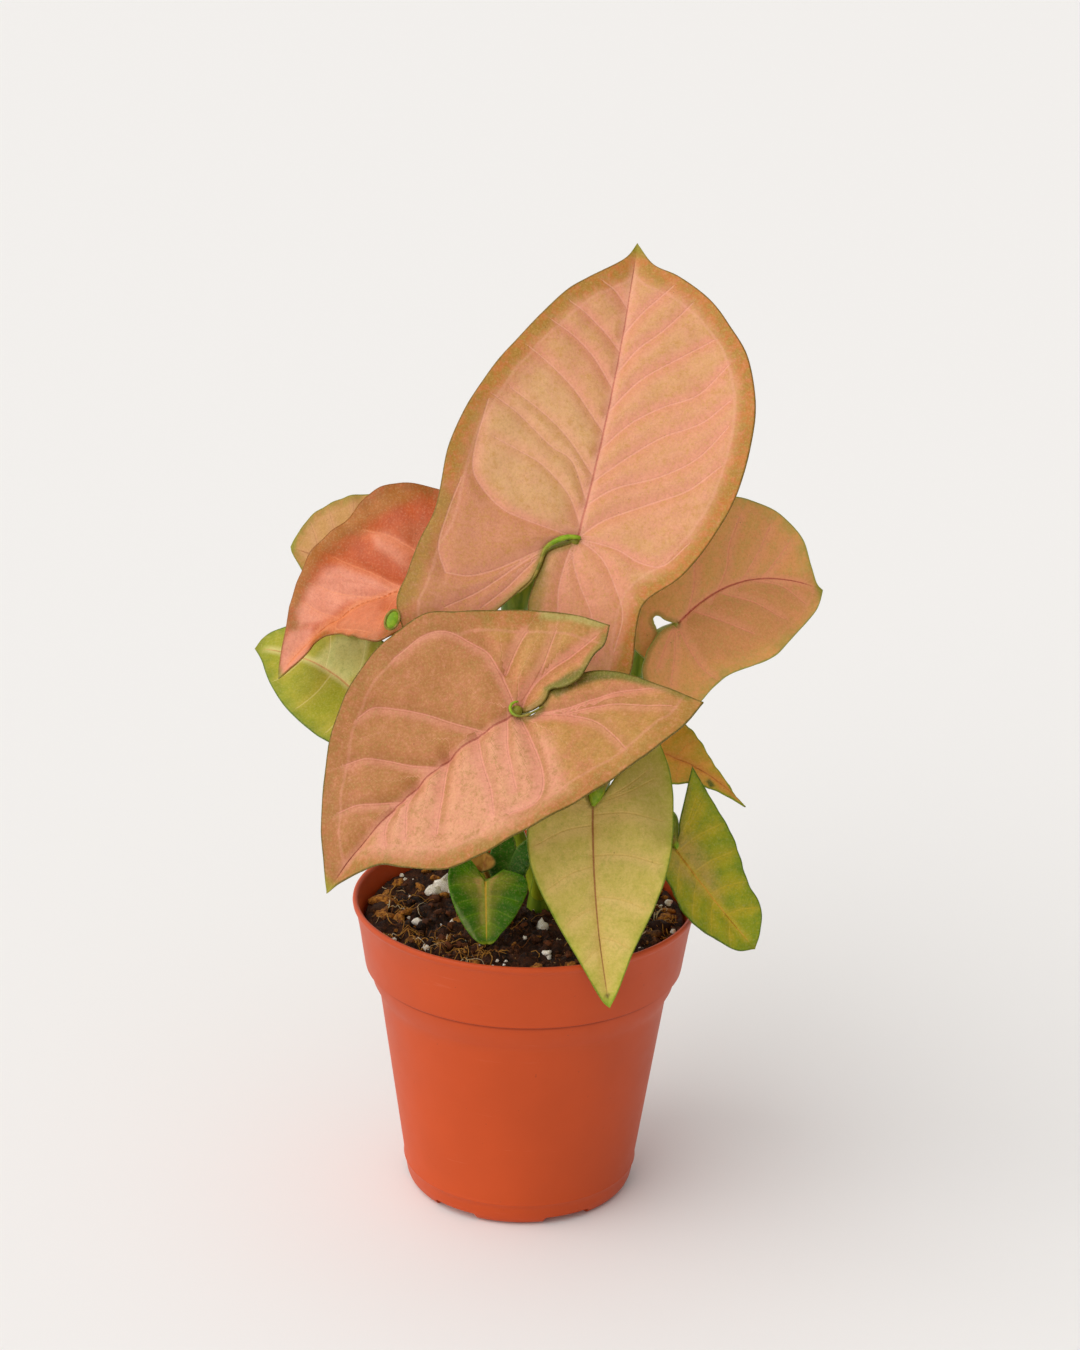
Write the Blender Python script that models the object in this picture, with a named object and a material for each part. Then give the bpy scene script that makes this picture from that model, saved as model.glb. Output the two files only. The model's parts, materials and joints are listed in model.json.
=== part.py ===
"""Pink arrowhead plant in a plastic nursery pot.

Metres, +Z up. The origin is under the middle of the pot's base, and -Y is the front.
Leaf outlines are in millimetres in the leaf's own plane: the stalk joins at (0, 0),
the tip is at (0, length), and each side runs from the tip round the margin to the end
of its basal lobe, then back along the sinus to the stalk.
"""
import math
from dataclasses import dataclass
from dataclasses import field

import bmesh
import bpy
from mathutils import Matrix
from mathutils import Vector

MM = 0.001
GAP = 0.3
SMOOTH_ANGLE = math.radians(40)

# Nursery pot, 4 inch size
POT_HEIGHT = 94.6
RIM_RADIUS = 52.5
BAND_BOTTOM = 73.7
BAND_RADIUS = 48.6
SHOULDER_BOTTOM = 61.5
BODY_TOP_RADIUS = 43.7
BODY_FOOT_RADIUS = 35.7
FOOT_RADIUS = 32.1
WALL = 1.1
FLOOR = 1.6
FLOOR_RISE = 2.6
CENTRE_PAD_RADIUS = 16.0
CHANNEL_EDGE = 28.6
POT_SIDES = 40
NOTCHES = 6
NOTCH_WIDTH = 15.0
NOTCH_DEPTH = 7.0
FIRST_NOTCH = 26.0

# Potting mix
SOIL_LEVEL = 88.2
SOIL_LUMP = 1.1
SOIL_RINGS = (47.5, 42.0, 35.0, 28.0, 21.0, 14.0, 7.0)

# Leaves and stalks
BLADE = 0.7
STALK_SIDES = 8
STEM_SIDES = 10
STALK_RINGS = 12
STEM_FOOT = 78.0
STEM_TAPER = (0.9, 1.0, 0.95, 0.7)
RIB_SHARE = 0.6


@dataclass
class Leaf:
    """One blade: where its stalk joins, which way it faces, how it bends and its outline."""
    name: str
    hub: tuple
    turn: float
    lean: float
    spin: float
    length: float
    left: list
    left_sinus: list
    right: list
    right_sinus: list
    colour: tuple
    bow: float = 0.0
    fold: float = 0.1
    cup: float = 0.1
    arch: float = -0.1
    droop: float = -0.3
    split: float = 0.0
    wave: float = 0.6
    rows: int = 12
    columns: int = 4


@dataclass
class Stalk:
    """A leaf stalk: the leaf that it carries, the points that it passes and its thickness."""
    leaf: str
    way: list
    foot: float = 2.0
    top: float = 1.2


@dataclass
class Shoot:
    """A leafy shoot: a short stem in the soil, with the stalks that leave it."""
    name: str
    stem: list
    radius: float
    stalks: list = field(default_factory=list)


PINK = (0.72, 0.36, 0.24)
CORAL = (0.80, 0.27, 0.14)
TAN = (0.60, 0.38, 0.18)
LIME = (0.42, 0.48, 0.09)
SAGE = (0.46, 0.42, 0.11)
DARK_GREEN = (0.05, 0.20, 0.03)
STALK_GREEN = (0.18, 0.36, 0.05)

LEAVES = [
    Leaf("leaf_crown", (12.9, 0, 208.1), 0, 27, -10, 93, bow=1.5, colour=PINK,
         fold=0.12, arch=-0.08, droop=-0.25, wave=0.8, rows=16, columns=5,
         left=[(-3, 87), (-12.5, 78.5), (-19, 71.5), (-28.5, 56), (-34.5, 44.5), (-39.5, 30.5),
               (-42, 17.5), (-42, 0.5), (-44.5, -10), (-46, -20.5), (-47, -31), (-38, -46)],
         left_sinus=[(-5, -1.5), (-9.3, -5.5), (-10.8, -12.5), (-14, -18.5), (-18.5, -25.5),
                     (-27, -36.5), (-38, -46)],
         right=[(6, 87), (14, 84.5), (23.5, 79.5), (31, 72.5), (39, 62), (44, 45), (43.5, 23.5),
                (39, 8), (32, -5.5), (23.5, -14), (22, -21), (23, -34), (20.5, -41), (14, -44)],
         right_sinus=[(-3.5, -3.5), (-7.2, -7), (-8, -14), (-9, -21), (-7, -29), (0, -38), (14, -44)]),
    Leaf("leaf_front", (-3.7, -40, 169.2), -18, 36, 142, 75, bow=4, colour=PINK,
         fold=0.12, cup=0.06, arch=-0.12, wave=0.9, rows=16, columns=5,
         left=[(-1, 70), (-6, 58.5), (-12.5, 53), (-22, 44), (-28.5, 28), (-34, 7.5), (-37, -12),
               (-37.5, -30), (-35, -40.5)],
         left_sinus=[(-5, -2.5), (-6, -8.5), (-7.5, -14.5), (-9, -21), (-14, -29), (-21.5, -34),
                     (-35, -40.5)],
         right=[(7, 69.5), (16, 62.5), (29, 48.5), (36.5, 35), (41, 18), (39.5, 1.5), (31.5, -8),
                (18, -23), (9, -31), (0.5, -36)],
         right_sinus=[(-2.5, -2.5), (-3.5, -7), (-3, -12), (-5.3, -19), (-3.5, -27), (0.5, -36)]),
    Leaf("leaf_coral", (-36.7, 7, 190.3), -30, 48, 140, 47.5, bow=5, colour=CORAL,
         fold=0.45, arch=-0.2, wave=0.9,
         left=[(-0.5, 43.5), (-1, 36), (1.5, 32), (-0.5, 26), (-8, 22), (-17.5, 17.5), (-20.5, 12.5),
               (-19.5, 5), (-17, -3), (-12, -9)],
         left_sinus=[(-2, -3), (-6, -7), (-12, -9)],
         right=[(3, 45.5), (13, 36.5), (18, 31.5), (25, 18.5), (27, 3), (28.5, -4), (26.5, -14),
                (19.5, -23.5), (12, -27)],
         right_sinus=[(0.5, -7), (5, -16), (12, -27)]),
    Leaf("leaf_tan", (-40.8, 27, 189), -20, 35, 85, 37.5, bow=-1.5, colour=TAN, droop=-0.2,
         left=[(-3, 35), (-12.5, 23), (-17, 13), (-18, 1), (-16, -8), (-10, -14)],
         left_sinus=[(-2.5, -4.5), (-5, -10), (-10, -14)],
         right=[(3.5, 36.5), (12, 32.5), (18.5, 23), (21, 13), (20, 2), (17, -8), (10, -12)],
         right_sinus=[(2.5, -4), (6, -9), (10, -12)]),
    Leaf("leaf_lime", (-50.1, 4, 155.1), -25, 45, 75, 45, bow=4, colour=LIME, arch=-0.15,
         fold=0.12,
         left=[(-3, 39), (-8.5, 30.5), (-13.5, 19), (-16.5, 4), (-15, -9), (-8.5, -18)],
         left_sinus=[(-2.5, -5), (-5, -12), (-8.5, -18)],
         right=[(4.5, 44), (9.5, 40), (14, 33), (17.5, 23), (19, 10), (17, -3), (10, -13)],
         right_sinus=[(2.5, -4), (6, -9), (10, -13)]),
    Leaf("leaf_right_back", (43.9, 12, 178.8), 15, 28, -80, 50, bow=-8, colour=TAN,
         arch=-0.25, droop=-0.25, split=1.8, wave=0.7, rows=14,
         left=[(-2.5, 48.5), (-8, 48), (-17, 47), (-26.5, 40.5), (-33, 29.5), (-34, 18), (-25, 3),
               (-16, -5), (-7, -12), (2, -15), (9.5, -11.5)],
         left_sinus=[(-2, -2.5), (-3.5, -5), (-2.5, -8), (1.5, -8), (9.5, -11.5)],
         right=[(4, 47), (7, 43.5), (12.5, 34), (17, 25), (18.5, 12), (21, 5), (27, -5), (28, -12)],
         right_sinus=[(0.5, -2.5), (1.5, -7.5), (8.5, -13), (18, -16), (28, -12)]),
    Leaf("leaf_small_pink", (36.5, 2, 142.7), 15, 50, -128, 33.5, bow=-2.5, colour=PINK,
         fold=0.2, arch=-0.25, rows=10,
         left=[(-1, 30), (-3, 26), (-6, 20), (-10, 12), (-13, 4), (-12.5, -4), (-7, -8)],
         left_sinus=[(-1.5, -2.5), (-3.5, -6), (-7, -8)],
         right=[(0.5, 29), (1.5, 22), (5, 15.5), (10, 9), (14, 1), (13, -5), (8, -8)],
         right_sinus=[(1.5, -2.5), (4, -6), (8, -8)]),
    Leaf("leaf_right_lime", (44.4, -14, 117.4), 20, 20, -145, 41, bow=0.5, colour=LIME,
         fold=0.2, droop=-0.2,
         left=[(-4.5, 37.5), (-9, 31.5), (-10.5, 23.5), (-13, 15.5), (-16, 6), (-17.5, -6),
               (-19, -15.5)],
         left_sinus=[(-3.5, -2), (-6, -5), (-12, -10), (-19, -15.5)],
         right=[(5, 37), (8, 30), (10.5, 23), (11, 16), (9.5, 9), (8, 2), (4.5, -5)],
         right_sinus=[(0.5, -2), (2, -4.5), (4.5, -5)]),
    Leaf("leaf_hanging", (19.2, -33, 138.2), 3, 24, -175, 59, bow=1.5, colour=SAGE,
         fold=0.12, wave=0.5, rows=14,
         left=[(-3, 54), (-8, 43.5), (-15, 31.5), (-20, 20), (-22.5, 8), (-23, -6), (-20, -19)],
         left_sinus=[(-4, -3.5), (-10, -10.5), (-20, -19)],
         right=[(2.5, 56), (8, 44.5), (14, 32), (19, 19), (20, 8), (17, -4), (9, -14)],
         right_sinus=[(1, -3), (4, -9), (9, -14)]),
    Leaf("leaf_small_green", (-11.8, -18, 107), -5, 32, -175, 19, colour=DARK_GREEN,
         fold=0.12, cup=0.2, arch=-0.3, droop=-0.6, wave=0.2, rows=10, columns=3,
         left=[(-2, 18.8), (-4.5, 16), (-8.5, 11.5), (-12.5, 4), (-11.5, -0.5), (-5.5, -3)],
         left_sinus=[(-1.5, -0.7), (-3.5, -1.8), (-5.5, -3)],
         right=[(2, 18.8), (5, 16), (8.5, 10), (11, 1.5), (10, -5), (5, -7)],
         right_sinus=[(1.2, -1.5), (3, -4.5), (5, -7)]),
    Leaf("leaf_second_green", (-3, -6, 112.5), -15, 40, 169, 13, colour=DARK_GREEN,
         fold=0.15, cup=0.2, arch=-0.3, droop=-0.6, wave=0.2, rows=8, columns=2,
         left=[(-3.5, 11), (-6, 6.5), (-5.5, 0.5), (-3, -4.5)],
         left_sinus=[(-1.2, -2.2), (-3, -4.5)],
         right=[(3.5, 11), (6.5, 6.5), (6.5, 0.5), (4, -4.5)],
         right_sinus=[(1.2, -2.2), (4, -4.5)]),
]

SHOOTS = [
    Shoot("stalks_main", [(4, 4, STEM_FOOT), (4, 4, 92), (5, 4, 102)], 3.6, [
        Stalk("leaf_crown", [(5, 8, 102), (1, 13, 135), (-4, 13.5, 162), (-5.2, 12, 180),
                             (-3.5, 10.5, 189), (1.5, 9.5, 197.5), (8, 6.5, 204)], 2.2, 1.4),
        Stalk("leaf_front", [(5, 0, 102), (5, -6, 125), (1, -17, 150), (-1, -29, 164)], 2.2, 1.4),
        Stalk("leaf_hanging", [(9, 2, 102), (19, -4, 125), (26, -14, 145), (25.5, -22, 149),
                               (22, -28.5, 144)], 2.0, 1.2),
        Stalk("leaf_coral", [(1, 7, 102), (-9, 10, 128), (-20, 13, 155), (-29.5, 12.8, 176)], 2.0, 1.2)]),
    Shoot("stalks_left", [(-12, 12, STEM_FOOT), (-12, 12, 92), (-13, 12, 98)], 2.8, [
        Stalk("leaf_tan", [(-14, 16, 100), (-23, 28, 130), (-32, 36, 160), (-37, 37, 178)], 1.8, 1.1),
        Stalk("leaf_lime", [(-16, 12, 99), (-28, 14, 120), (-42, 14, 141)], 1.8, 1.1)]),
    Shoot("stalks_right", [(17, 10, STEM_FOOT), (17, 10, 92), (18, 10, 98)], 2.8, [
        Stalk("leaf_right_back", [(19, 14, 99), (25, 20, 130), (31.5, 22.5, 158), (38, 20, 172)], 1.9, 1.1),
        Stalk("leaf_small_pink", [(21, 9, 99), (29, 10, 120), (34, 9, 134)], 1.6, 1.0),
        Stalk("leaf_right_lime", [(23, 7, 98), (33, 3, 111), (42, -3, 123), (44.5, -8, 123)], 1.6, 1.0)]),
    Shoot("stalks_small", [(-7, -7, STEM_FOOT), (-7, -7, 91.5), (-7, -7, 94)], 2.0, [
        Stalk("leaf_small_green", [(-8.5, -9.5, 96), (-11, -12.5, 103)], 1.3, 0.8),
        Stalk("leaf_second_green", [(-5, -4.5, 98), (-2.3, -1.5, 106)], 1.3, 0.8)]),
]


def clear_scene():
    """Remove every object that the new file opens with."""
    for item in list(bpy.data.objects):
        bpy.data.objects.remove(item, do_unlink=True)


def material(name, colour, roughness):
    """A plain non-metal surface."""
    made = bpy.data.materials.new(name)
    made.use_nodes = True
    shader = made.node_tree.nodes["Principled BSDF"]
    shader.inputs["Base Color"].default_value = (*colour, 1.0)
    shader.inputs["Roughness"].default_value = roughness
    shader.inputs["Metallic"].default_value = 0.0
    return made


def scaled(point):
    """A point in millimetres as a vector in metres."""
    return Vector(point) * MM


def add_object(name, bm, finish):
    """Turn a bmesh into a named object that is smooth away from its sharp edges."""
    mesh = bpy.data.meshes.new(name)
    bm.to_mesh(mesh)
    bm.free()
    mesh.shade_smooth()
    mesh.set_sharp_from_angle(angle=SMOOTH_ANGLE)
    mesh.materials.append(finish)
    made = bpy.data.objects.new(name, mesh)
    bpy.context.scene.collection.objects.link(made)
    return made


def add_cutter(name, bm):
    """Turn a bmesh into a wire guide that only cuts other objects."""
    mesh = bpy.data.meshes.new(name)
    bm.to_mesh(mesh)
    bm.free()
    made = bpy.data.objects.new(name, mesh)
    bpy.context.scene.collection.objects.link(made)
    made.display_type = "WIRE"
    made.hide_render = True
    return made


def cut(target, cutter):
    """Take the cutter's shape away from the target."""
    step = target.modifiers.new("cut " + cutter.name, "BOOLEAN")
    step.operation = "DIFFERENCE"
    step.solver = "EXACT"
    step.object = cutter


def smooth_line(points, count):
    """Points evenly spaced along a smooth curve through the given ones."""
    knots = [Vector(p) for p in points]
    knots = [2 * knots[0] - knots[1]] + knots + [2 * knots[-1] - knots[-2]]
    fine = [knots[1]]
    steps = 12
    for a, b, c, d in zip(knots, knots[1:], knots[2:], knots[3:]):
        for i in range(1, steps + 1):
            t = i / steps
            fine.append(0.5 * (2 * b + (c - a) * t + (2 * a - 5 * b + 4 * c - d) * t * t
                               + (3 * b - 3 * c + d - a) * t ** 3))
    reach = [0.0]
    for a, b in zip(fine, fine[1:]):
        reach.append(reach[-1] + (b - a).length)
    result = []
    at = 0
    for i in range(count + 1):
        wanted = reach[-1] * i / count
        while at < len(reach) - 2 and reach[at + 1] < wanted:
            at += 1
        share = (wanted - reach[at]) / max(reach[at + 1] - reach[at], 1e-9)
        result.append(fine[at].lerp(fine[at + 1], min(share, 1.0)))
    return result


def rib_offset(leaf, along):
    """How far the midrib bows sideways at a distance along the leaf."""
    share = min(max(along / leaf.length, 0.0), 1.0)
    return 4 * leaf.bow * share * (1 - share)


def blade_height(leaf, across, along, side):
    """Height of the bent blade over its own plane, in millimetres."""
    soft = 3.0
    away = across - rib_offset(leaf, along)
    valley = math.hypot(away, soft) - soft
    curl = leaf.arch if along > 0 else leaf.droop
    height = leaf.fold * valley + (leaf.cup * away * away + curl * along * along) / 100
    if along < 0:
        height += side * leaf.split * along * along / (abs(along) + 6) / 10
    return height


def leaf_place(leaf):
    """The matrix that stands a leaf's own plane in the plant, in millimetres."""
    upright = Matrix.Rotation(math.radians(90 - leaf.lean), 4, "X")
    turned = Matrix.Rotation(math.radians(leaf.turn), 4, "Z")
    spun = Matrix.Rotation(math.radians(leaf.spin), 4, "Z")
    return Matrix.Translation(leaf.hub) @ turned @ upright @ spun


def half_blade(bm, leaf, side):
    """Shape one grid into the half of the blade on one side of the midrib."""
    edge, sinus = (leaf.left, leaf.left_sinus) if side < 0 else (leaf.right, leaf.right_sinus)
    rib_rows = round(leaf.rows * RIB_SHARE)
    outer = smooth_line([(0, leaf.length)] + edge, leaf.rows)
    inner = []
    for i in range(rib_rows):
        along = leaf.length * (1 - i / rib_rows)
        inner.append(Vector((rib_offset(leaf, along), along)))
    inner += smooth_line([(0, 0)] + sinus, leaf.rows - rib_rows)
    place = leaf_place(leaf)
    grid = bmesh.ops.create_grid(bm, x_segments=leaf.columns, y_segments=leaf.rows, size=0.5)
    for vert in grid["verts"]:
        share = vert.co.x + 0.5
        down = vert.co.y + 0.5
        row = round(down * leaf.rows)
        spot = inner[row].lerp(outer[row], share)
        ripple = leaf.wave * share ** 3 * math.sin(down * 17 + side) * math.sin(math.pi * down)
        height = blade_height(leaf, spot.x, spot.y, side) + ripple
        vert.co = place @ Vector((spot.x, spot.y, height)) * MM


def make_blade(leaf):
    """A leaf blade: two shaped grids joined along the midrib, split alike and thickened."""
    bm = bmesh.new()
    half_blade(bm, leaf, -1)
    half_blade(bm, leaf, 1)
    bmesh.ops.remove_doubles(bm, verts=bm.verts, dist=0.02 * MM)
    bmesh.ops.recalc_face_normals(bm, faces=bm.faces)
    bmesh.ops.triangulate(bm, faces=bm.faces, quad_method="FIXED")
    made = add_object(leaf.name, bm, material(leaf.name + "_skin", leaf.colour, 0.42))
    wall = made.modifiers.new("blade", "SOLIDIFY")
    wall.thickness = BLADE * MM
    wall.offset = 0.0
    return made


def tube(bm, path, radii, sides, last_turn=None):
    """A closed tube of round rings along a path in millimetres; its last ring may lie in a plane."""
    rings = []
    for i, centre in enumerate(path):
        ahead = path[min(i + 1, len(path) - 1)]
        behind = path[max(i - 1, 0)]
        turn = (ahead - behind).to_track_quat("Z", "Y").to_matrix().to_4x4()
        if last_turn is not None and i == len(path) - 1:
            turn = last_turn
        place = Matrix.Scale(MM, 4) @ Matrix.Translation(centre) @ turn
        bmesh.ops.create_circle(bm, segments=sides, radius=radii[i], matrix=place)
        bm.edges.ensure_lookup_table()
        rings.append(bm.edges[i * sides:])
    for low, high in zip(rings, rings[1:]):
        bmesh.ops.bridge_loops(bm, edges=low + high)
    bmesh.ops.holes_fill(bm, edges=rings[0] + rings[-1], sides=sides)
    bmesh.ops.recalc_face_normals(bm, faces=bm.faces)


def stalk_end(leaf):
    """The centre and turn of a stalk's last ring, just under the blade at its hub."""
    place = leaf_place(leaf)
    centre = place @ Vector((0, 0, -(BLADE / 2 + GAP)))
    turn = place.to_3x3().to_4x4()
    return centre, turn


def make_shoot(shoot, leaves, finish):
    """A short stem with its leaf stalks, joined into one body."""
    bm = bmesh.new()
    stem = smooth_line(shoot.stem, len(STEM_TAPER) - 1)
    radii = [shoot.radius * share for share in STEM_TAPER]
    tube(bm, stem, radii, STEM_SIDES)
    made = add_object(shoot.name, bm, finish)
    group = bpy.data.collections.new(shoot.name + " parts")
    for stalk in shoot.stalks:
        end, turn = stalk_end(leaves[stalk.leaf])
        start = Vector(shoot.stem[1])
        path = smooth_line([start] + stalk.way + [end], STALK_RINGS)
        count = len(path) - 1
        radii = [stalk.foot + (stalk.top - stalk.foot) * (i / count) ** 0.7 for i in range(count + 1)]
        part = bmesh.new()
        tube(part, path, radii, STALK_SIDES, turn)
        piece = add_object(shoot.name + " part", part, finish)
        bpy.context.scene.collection.objects.unlink(piece)
        group.objects.link(piece)
    join = made.modifiers.new("join stalks", "BOOLEAN")
    join.operation = "UNION"
    join.solver = "EXACT"
    join.operand_type = "COLLECTION"
    join.collection = group
    bake(made)
    for piece in list(group.objects):
        bpy.data.objects.remove(piece, do_unlink=True)
    bpy.data.collections.remove(group)
    return made


def bake(made):
    """Keep an object's modified shape as its own mesh."""
    finished = bpy.data.meshes.new_from_object(made.evaluated_get(bpy.context.evaluated_depsgraph_get()))
    made.modifiers.clear()
    made.data = finished


def pot_outside():
    """The pot's outer profile from the foot to the rim, as (radius, height) in millimetres."""
    return [
        (FOOT_RADIUS, 0.0),
        (FOOT_RADIUS + 2.0, 0.9),
        (FOOT_RADIUS + 3.1, 2.8),
        (BODY_FOOT_RADIUS, 5.6),
        (BODY_TOP_RADIUS, SHOULDER_BOTTOM),
        (BODY_TOP_RADIUS + 0.8, 65.0),
        (BODY_TOP_RADIUS + 2.5, 68.4),
        (BAND_RADIUS - 0.8, 71.8),
        (BAND_RADIUS - 0.3, BAND_BOTTOM - 0.4),
        (BAND_RADIUS, BAND_BOTTOM + 0.2),
        (RIM_RADIUS - 2.2, 85.0),
        (RIM_RADIUS - 0.9, 92.0),
        (RIM_RADIUS, 93.2),
        (RIM_RADIUS - 0.1, POT_HEIGHT - 0.4),
        (RIM_RADIUS - 0.6, POT_HEIGHT),
    ]


def pot_inside():
    """The pot's inner profile from the rim down to the middle of the floor."""
    return [
        (RIM_RADIUS - 1.2, POT_HEIGHT),
        (RIM_RADIUS - 1.8, 93.2),
        (RIM_RADIUS - 2.2 - WALL, 85.0),
        (BAND_RADIUS - WALL, BAND_BOTTOM + 0.2),
        (BODY_TOP_RADIUS + 1.4, 68.4),
        (BODY_TOP_RADIUS - WALL, SHOULDER_BOTTOM),
        (BODY_FOOT_RADIUS - WALL, 5.6),
        (FOOT_RADIUS - 0.4, FLOOR_RISE + FLOOR),
    ]


def pot_underside():
    """The underside from the middle of the floor out to the foot ring."""
    return [
        (CENTRE_PAD_RADIUS, 0.0),
        (CENTRE_PAD_RADIUS + 1.2, FLOOR_RISE),
        (CHANNEL_EDGE, FLOOR_RISE),
        (CHANNEL_EDGE + 0.6, 0.0),
    ]


def turned_solid(profile):
    """A closed solid turned from a profile of (radius, height); its ends close on the axis."""
    bm = bmesh.new()
    verts = [bm.verts.new(scaled((radius, 0, height))) for radius, height in profile]
    edges = [bm.edges.new(pair) for pair in zip(verts, verts[1:])]
    bmesh.ops.spin(bm, geom=verts + edges, cent=(0, 0, 0), axis=(0, 0, 1),
                   angle=math.tau, steps=POT_SIDES, use_merge=True)
    bmesh.ops.remove_doubles(bm, verts=bm.verts, dist=0.02 * MM)
    bmesh.ops.recalc_face_normals(bm, faces=bm.faces)
    return bm


def make_pot():
    """The thin nursery pot, with its rim band, raised floor and notched foot."""
    profile = ([(0, 0.0)] + pot_underside() + pot_outside() + pot_inside()
               + [(0, FLOOR_RISE + FLOOR)])
    made = add_object("pot", turned_solid(profile), material("pot_plastic", (0.62, 0.14, 0.06), 0.45))
    bm = bmesh.new()
    for i in range(NOTCHES):
        angle = math.radians(FIRST_NOTCH - 90 + 360 * i / NOTCHES)
        size = Matrix.Diagonal((NOTCH_DEPTH * MM, NOTCH_WIDTH * MM, 2 * FLOOR_RISE * MM, 1))
        place = Matrix.Rotation(angle, 4, "Z") @ Matrix.Translation(scaled((FOOT_RADIUS + 0.6, 0, 0)))
        bmesh.ops.create_cube(bm, size=1.0, matrix=place @ size)
    cut(made, add_cutter("foot notches", bm))
    return made


def lump(x, y):
    """Height of the crumbly top of the soil at a point, in millimetres."""
    rough = math.sin(x * 0.61 + 1.3) * math.sin(y * 0.53 + 0.4)
    fine = math.sin(x * 1.27 - y * 0.9) * math.sin(y * 1.41 + x * 0.35)
    return SOIL_LUMP * (rough + 0.5 * fine)


def make_soil():
    """The potting mix: the inside of the pot as one solid, lumpy on top, with a hole for each stem."""
    inside = [(radius - GAP, height + GAP) for radius, height in pot_inside()[2:-1]]
    wall = list(reversed(inside))
    floor = FLOOR_RISE + FLOOR + GAP
    profile = [(0, floor), (FOOT_RADIUS - 0.8 - GAP, floor)]
    profile += wall + [(wall[-1][0] + 0.3, SOIL_LEVEL - 1.0)]
    profile += [(radius, SOIL_LEVEL) for radius in SOIL_RINGS] + [(0, SOIL_LEVEL)]
    bm = turned_solid(profile)
    for vert in bm.verts:
        x, y, z = vert.co / MM
        if z > SOIL_LEVEL - 0.1:
            vert.co.z += lump(x, y) * MM
    made = add_object("soil", bm, material("potting_mix", (0.05, 0.025, 0.015), 0.9))
    holes = bmesh.new()
    for shoot in SHOOTS:
        depth = 30
        middle = Vector(shoot.stem[0]) + Vector((0, 0, depth / 2 - GAP))
        radius = (shoot.radius + GAP + 0.2) * MM
        bmesh.ops.create_cone(holes, cap_ends=True, segments=STEM_SIDES + 2, radius1=radius,
                              radius2=radius, depth=depth * MM,
                              matrix=Matrix.Translation(scaled(middle)))
    cut(made, add_cutter("stem holes", holes))
    return made


def main():
    """Build the pot, the soil, the shoots and the leaves."""
    clear_scene()
    make_pot()
    make_soil()
    leaves = {leaf.name: leaf for leaf in LEAVES}
    green = material("stalk_skin", STALK_GREEN, 0.4)
    for shoot in SHOOTS:
        make_shoot(shoot, leaves, green)
    for leaf in LEAVES:
        make_blade(leaf)


main()
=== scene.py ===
"""Pink arrowhead plant in a plastic nursery pot: the fine pieces, finishes, light and camera.

Metres, +Z up. The origin is under the middle of the pot's base, and -Y is the front.
Leaf outlines and veins are in millimetres in the leaf's own plane: the stalk joins at
(0, 0), the tip is at (0, length), and each side runs from the tip round the margin to
the end of its basal lobe, then back along the sinus to the stalk.
"""
import json
import math
import random
from dataclasses import dataclass
from dataclasses import field

import bmesh
import bpy
import numpy as np
from mathutils import Matrix
from mathutils import Vector
from mathutils import noise

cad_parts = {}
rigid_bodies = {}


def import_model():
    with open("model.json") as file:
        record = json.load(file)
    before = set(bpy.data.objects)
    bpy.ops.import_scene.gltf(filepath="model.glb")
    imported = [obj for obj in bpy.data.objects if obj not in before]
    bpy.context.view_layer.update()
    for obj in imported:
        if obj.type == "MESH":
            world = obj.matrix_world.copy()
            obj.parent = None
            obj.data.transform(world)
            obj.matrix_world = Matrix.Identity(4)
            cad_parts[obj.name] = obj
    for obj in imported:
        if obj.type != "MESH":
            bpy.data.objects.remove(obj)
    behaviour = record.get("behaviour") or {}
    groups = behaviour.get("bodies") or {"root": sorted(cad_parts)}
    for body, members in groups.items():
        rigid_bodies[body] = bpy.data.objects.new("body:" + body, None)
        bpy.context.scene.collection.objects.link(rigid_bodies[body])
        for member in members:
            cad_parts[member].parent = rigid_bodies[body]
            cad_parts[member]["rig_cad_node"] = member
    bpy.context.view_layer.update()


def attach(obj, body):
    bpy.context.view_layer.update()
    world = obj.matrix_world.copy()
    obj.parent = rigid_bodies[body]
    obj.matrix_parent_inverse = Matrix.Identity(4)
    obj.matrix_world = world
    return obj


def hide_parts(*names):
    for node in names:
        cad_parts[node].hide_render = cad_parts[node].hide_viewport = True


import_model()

bl_info = {
    "name": "Pink arrowhead plant",
    "version": (1, 0, 0),
    "blender": (4, 5, 0),
    "location": "View3D > Sidebar > Plant",
    "description": "Builds the fine pieces and finishes of a potted pink arrowhead plant",
    "category": "Add Mesh",
}

MM = 0.001


def tone(code):
    """A colour written as six hex digits, as linear red, green and blue."""
    parts = [int(code[i:i + 2], 16) / 255 for i in (0, 2, 4)]
    return tuple(p / 12.92 if p <= 0.04045 else ((p + 0.055) / 1.055) ** 2.4 for p in parts)


# Pot sizes in millimetres
POT_HEIGHT = 94.6
RIM_RADIUS = 52.5
BAND_BOTTOM = 73.7
BAND_RADIUS = 48.6
SHOULDER_BOTTOM = 61.5
BODY_TOP_RADIUS = 43.7
BODY_FOOT_RADIUS = 35.7
FOOT_RADIUS = 32.1
WALL = 1.1
FLOOR = 1.6
FLOOR_RISE = 2.6
CENTRE_PAD_RADIUS = 16.0
CHANNEL_EDGE = 28.6
NOTCHES = 6
NOTCH_WIDTH = 15.0
NOTCH_DEPTH = 7.0
FIRST_NOTCH = 26.0

# Potting mix in millimetres
SOIL_LEVEL = 88.2
SOIL_LUMP = 1.1
SOIL_RADIUS = 48.3
# The surface is calmer from this radius out, over this width, and loose bits lie this far out
CALM_FROM = 44.0
CALM_WIDTH = 4.0
SCATTER_SPAN = 47.0
SCATTER_REACH = 46.5
FIBRE_REACH = 46.0
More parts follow.
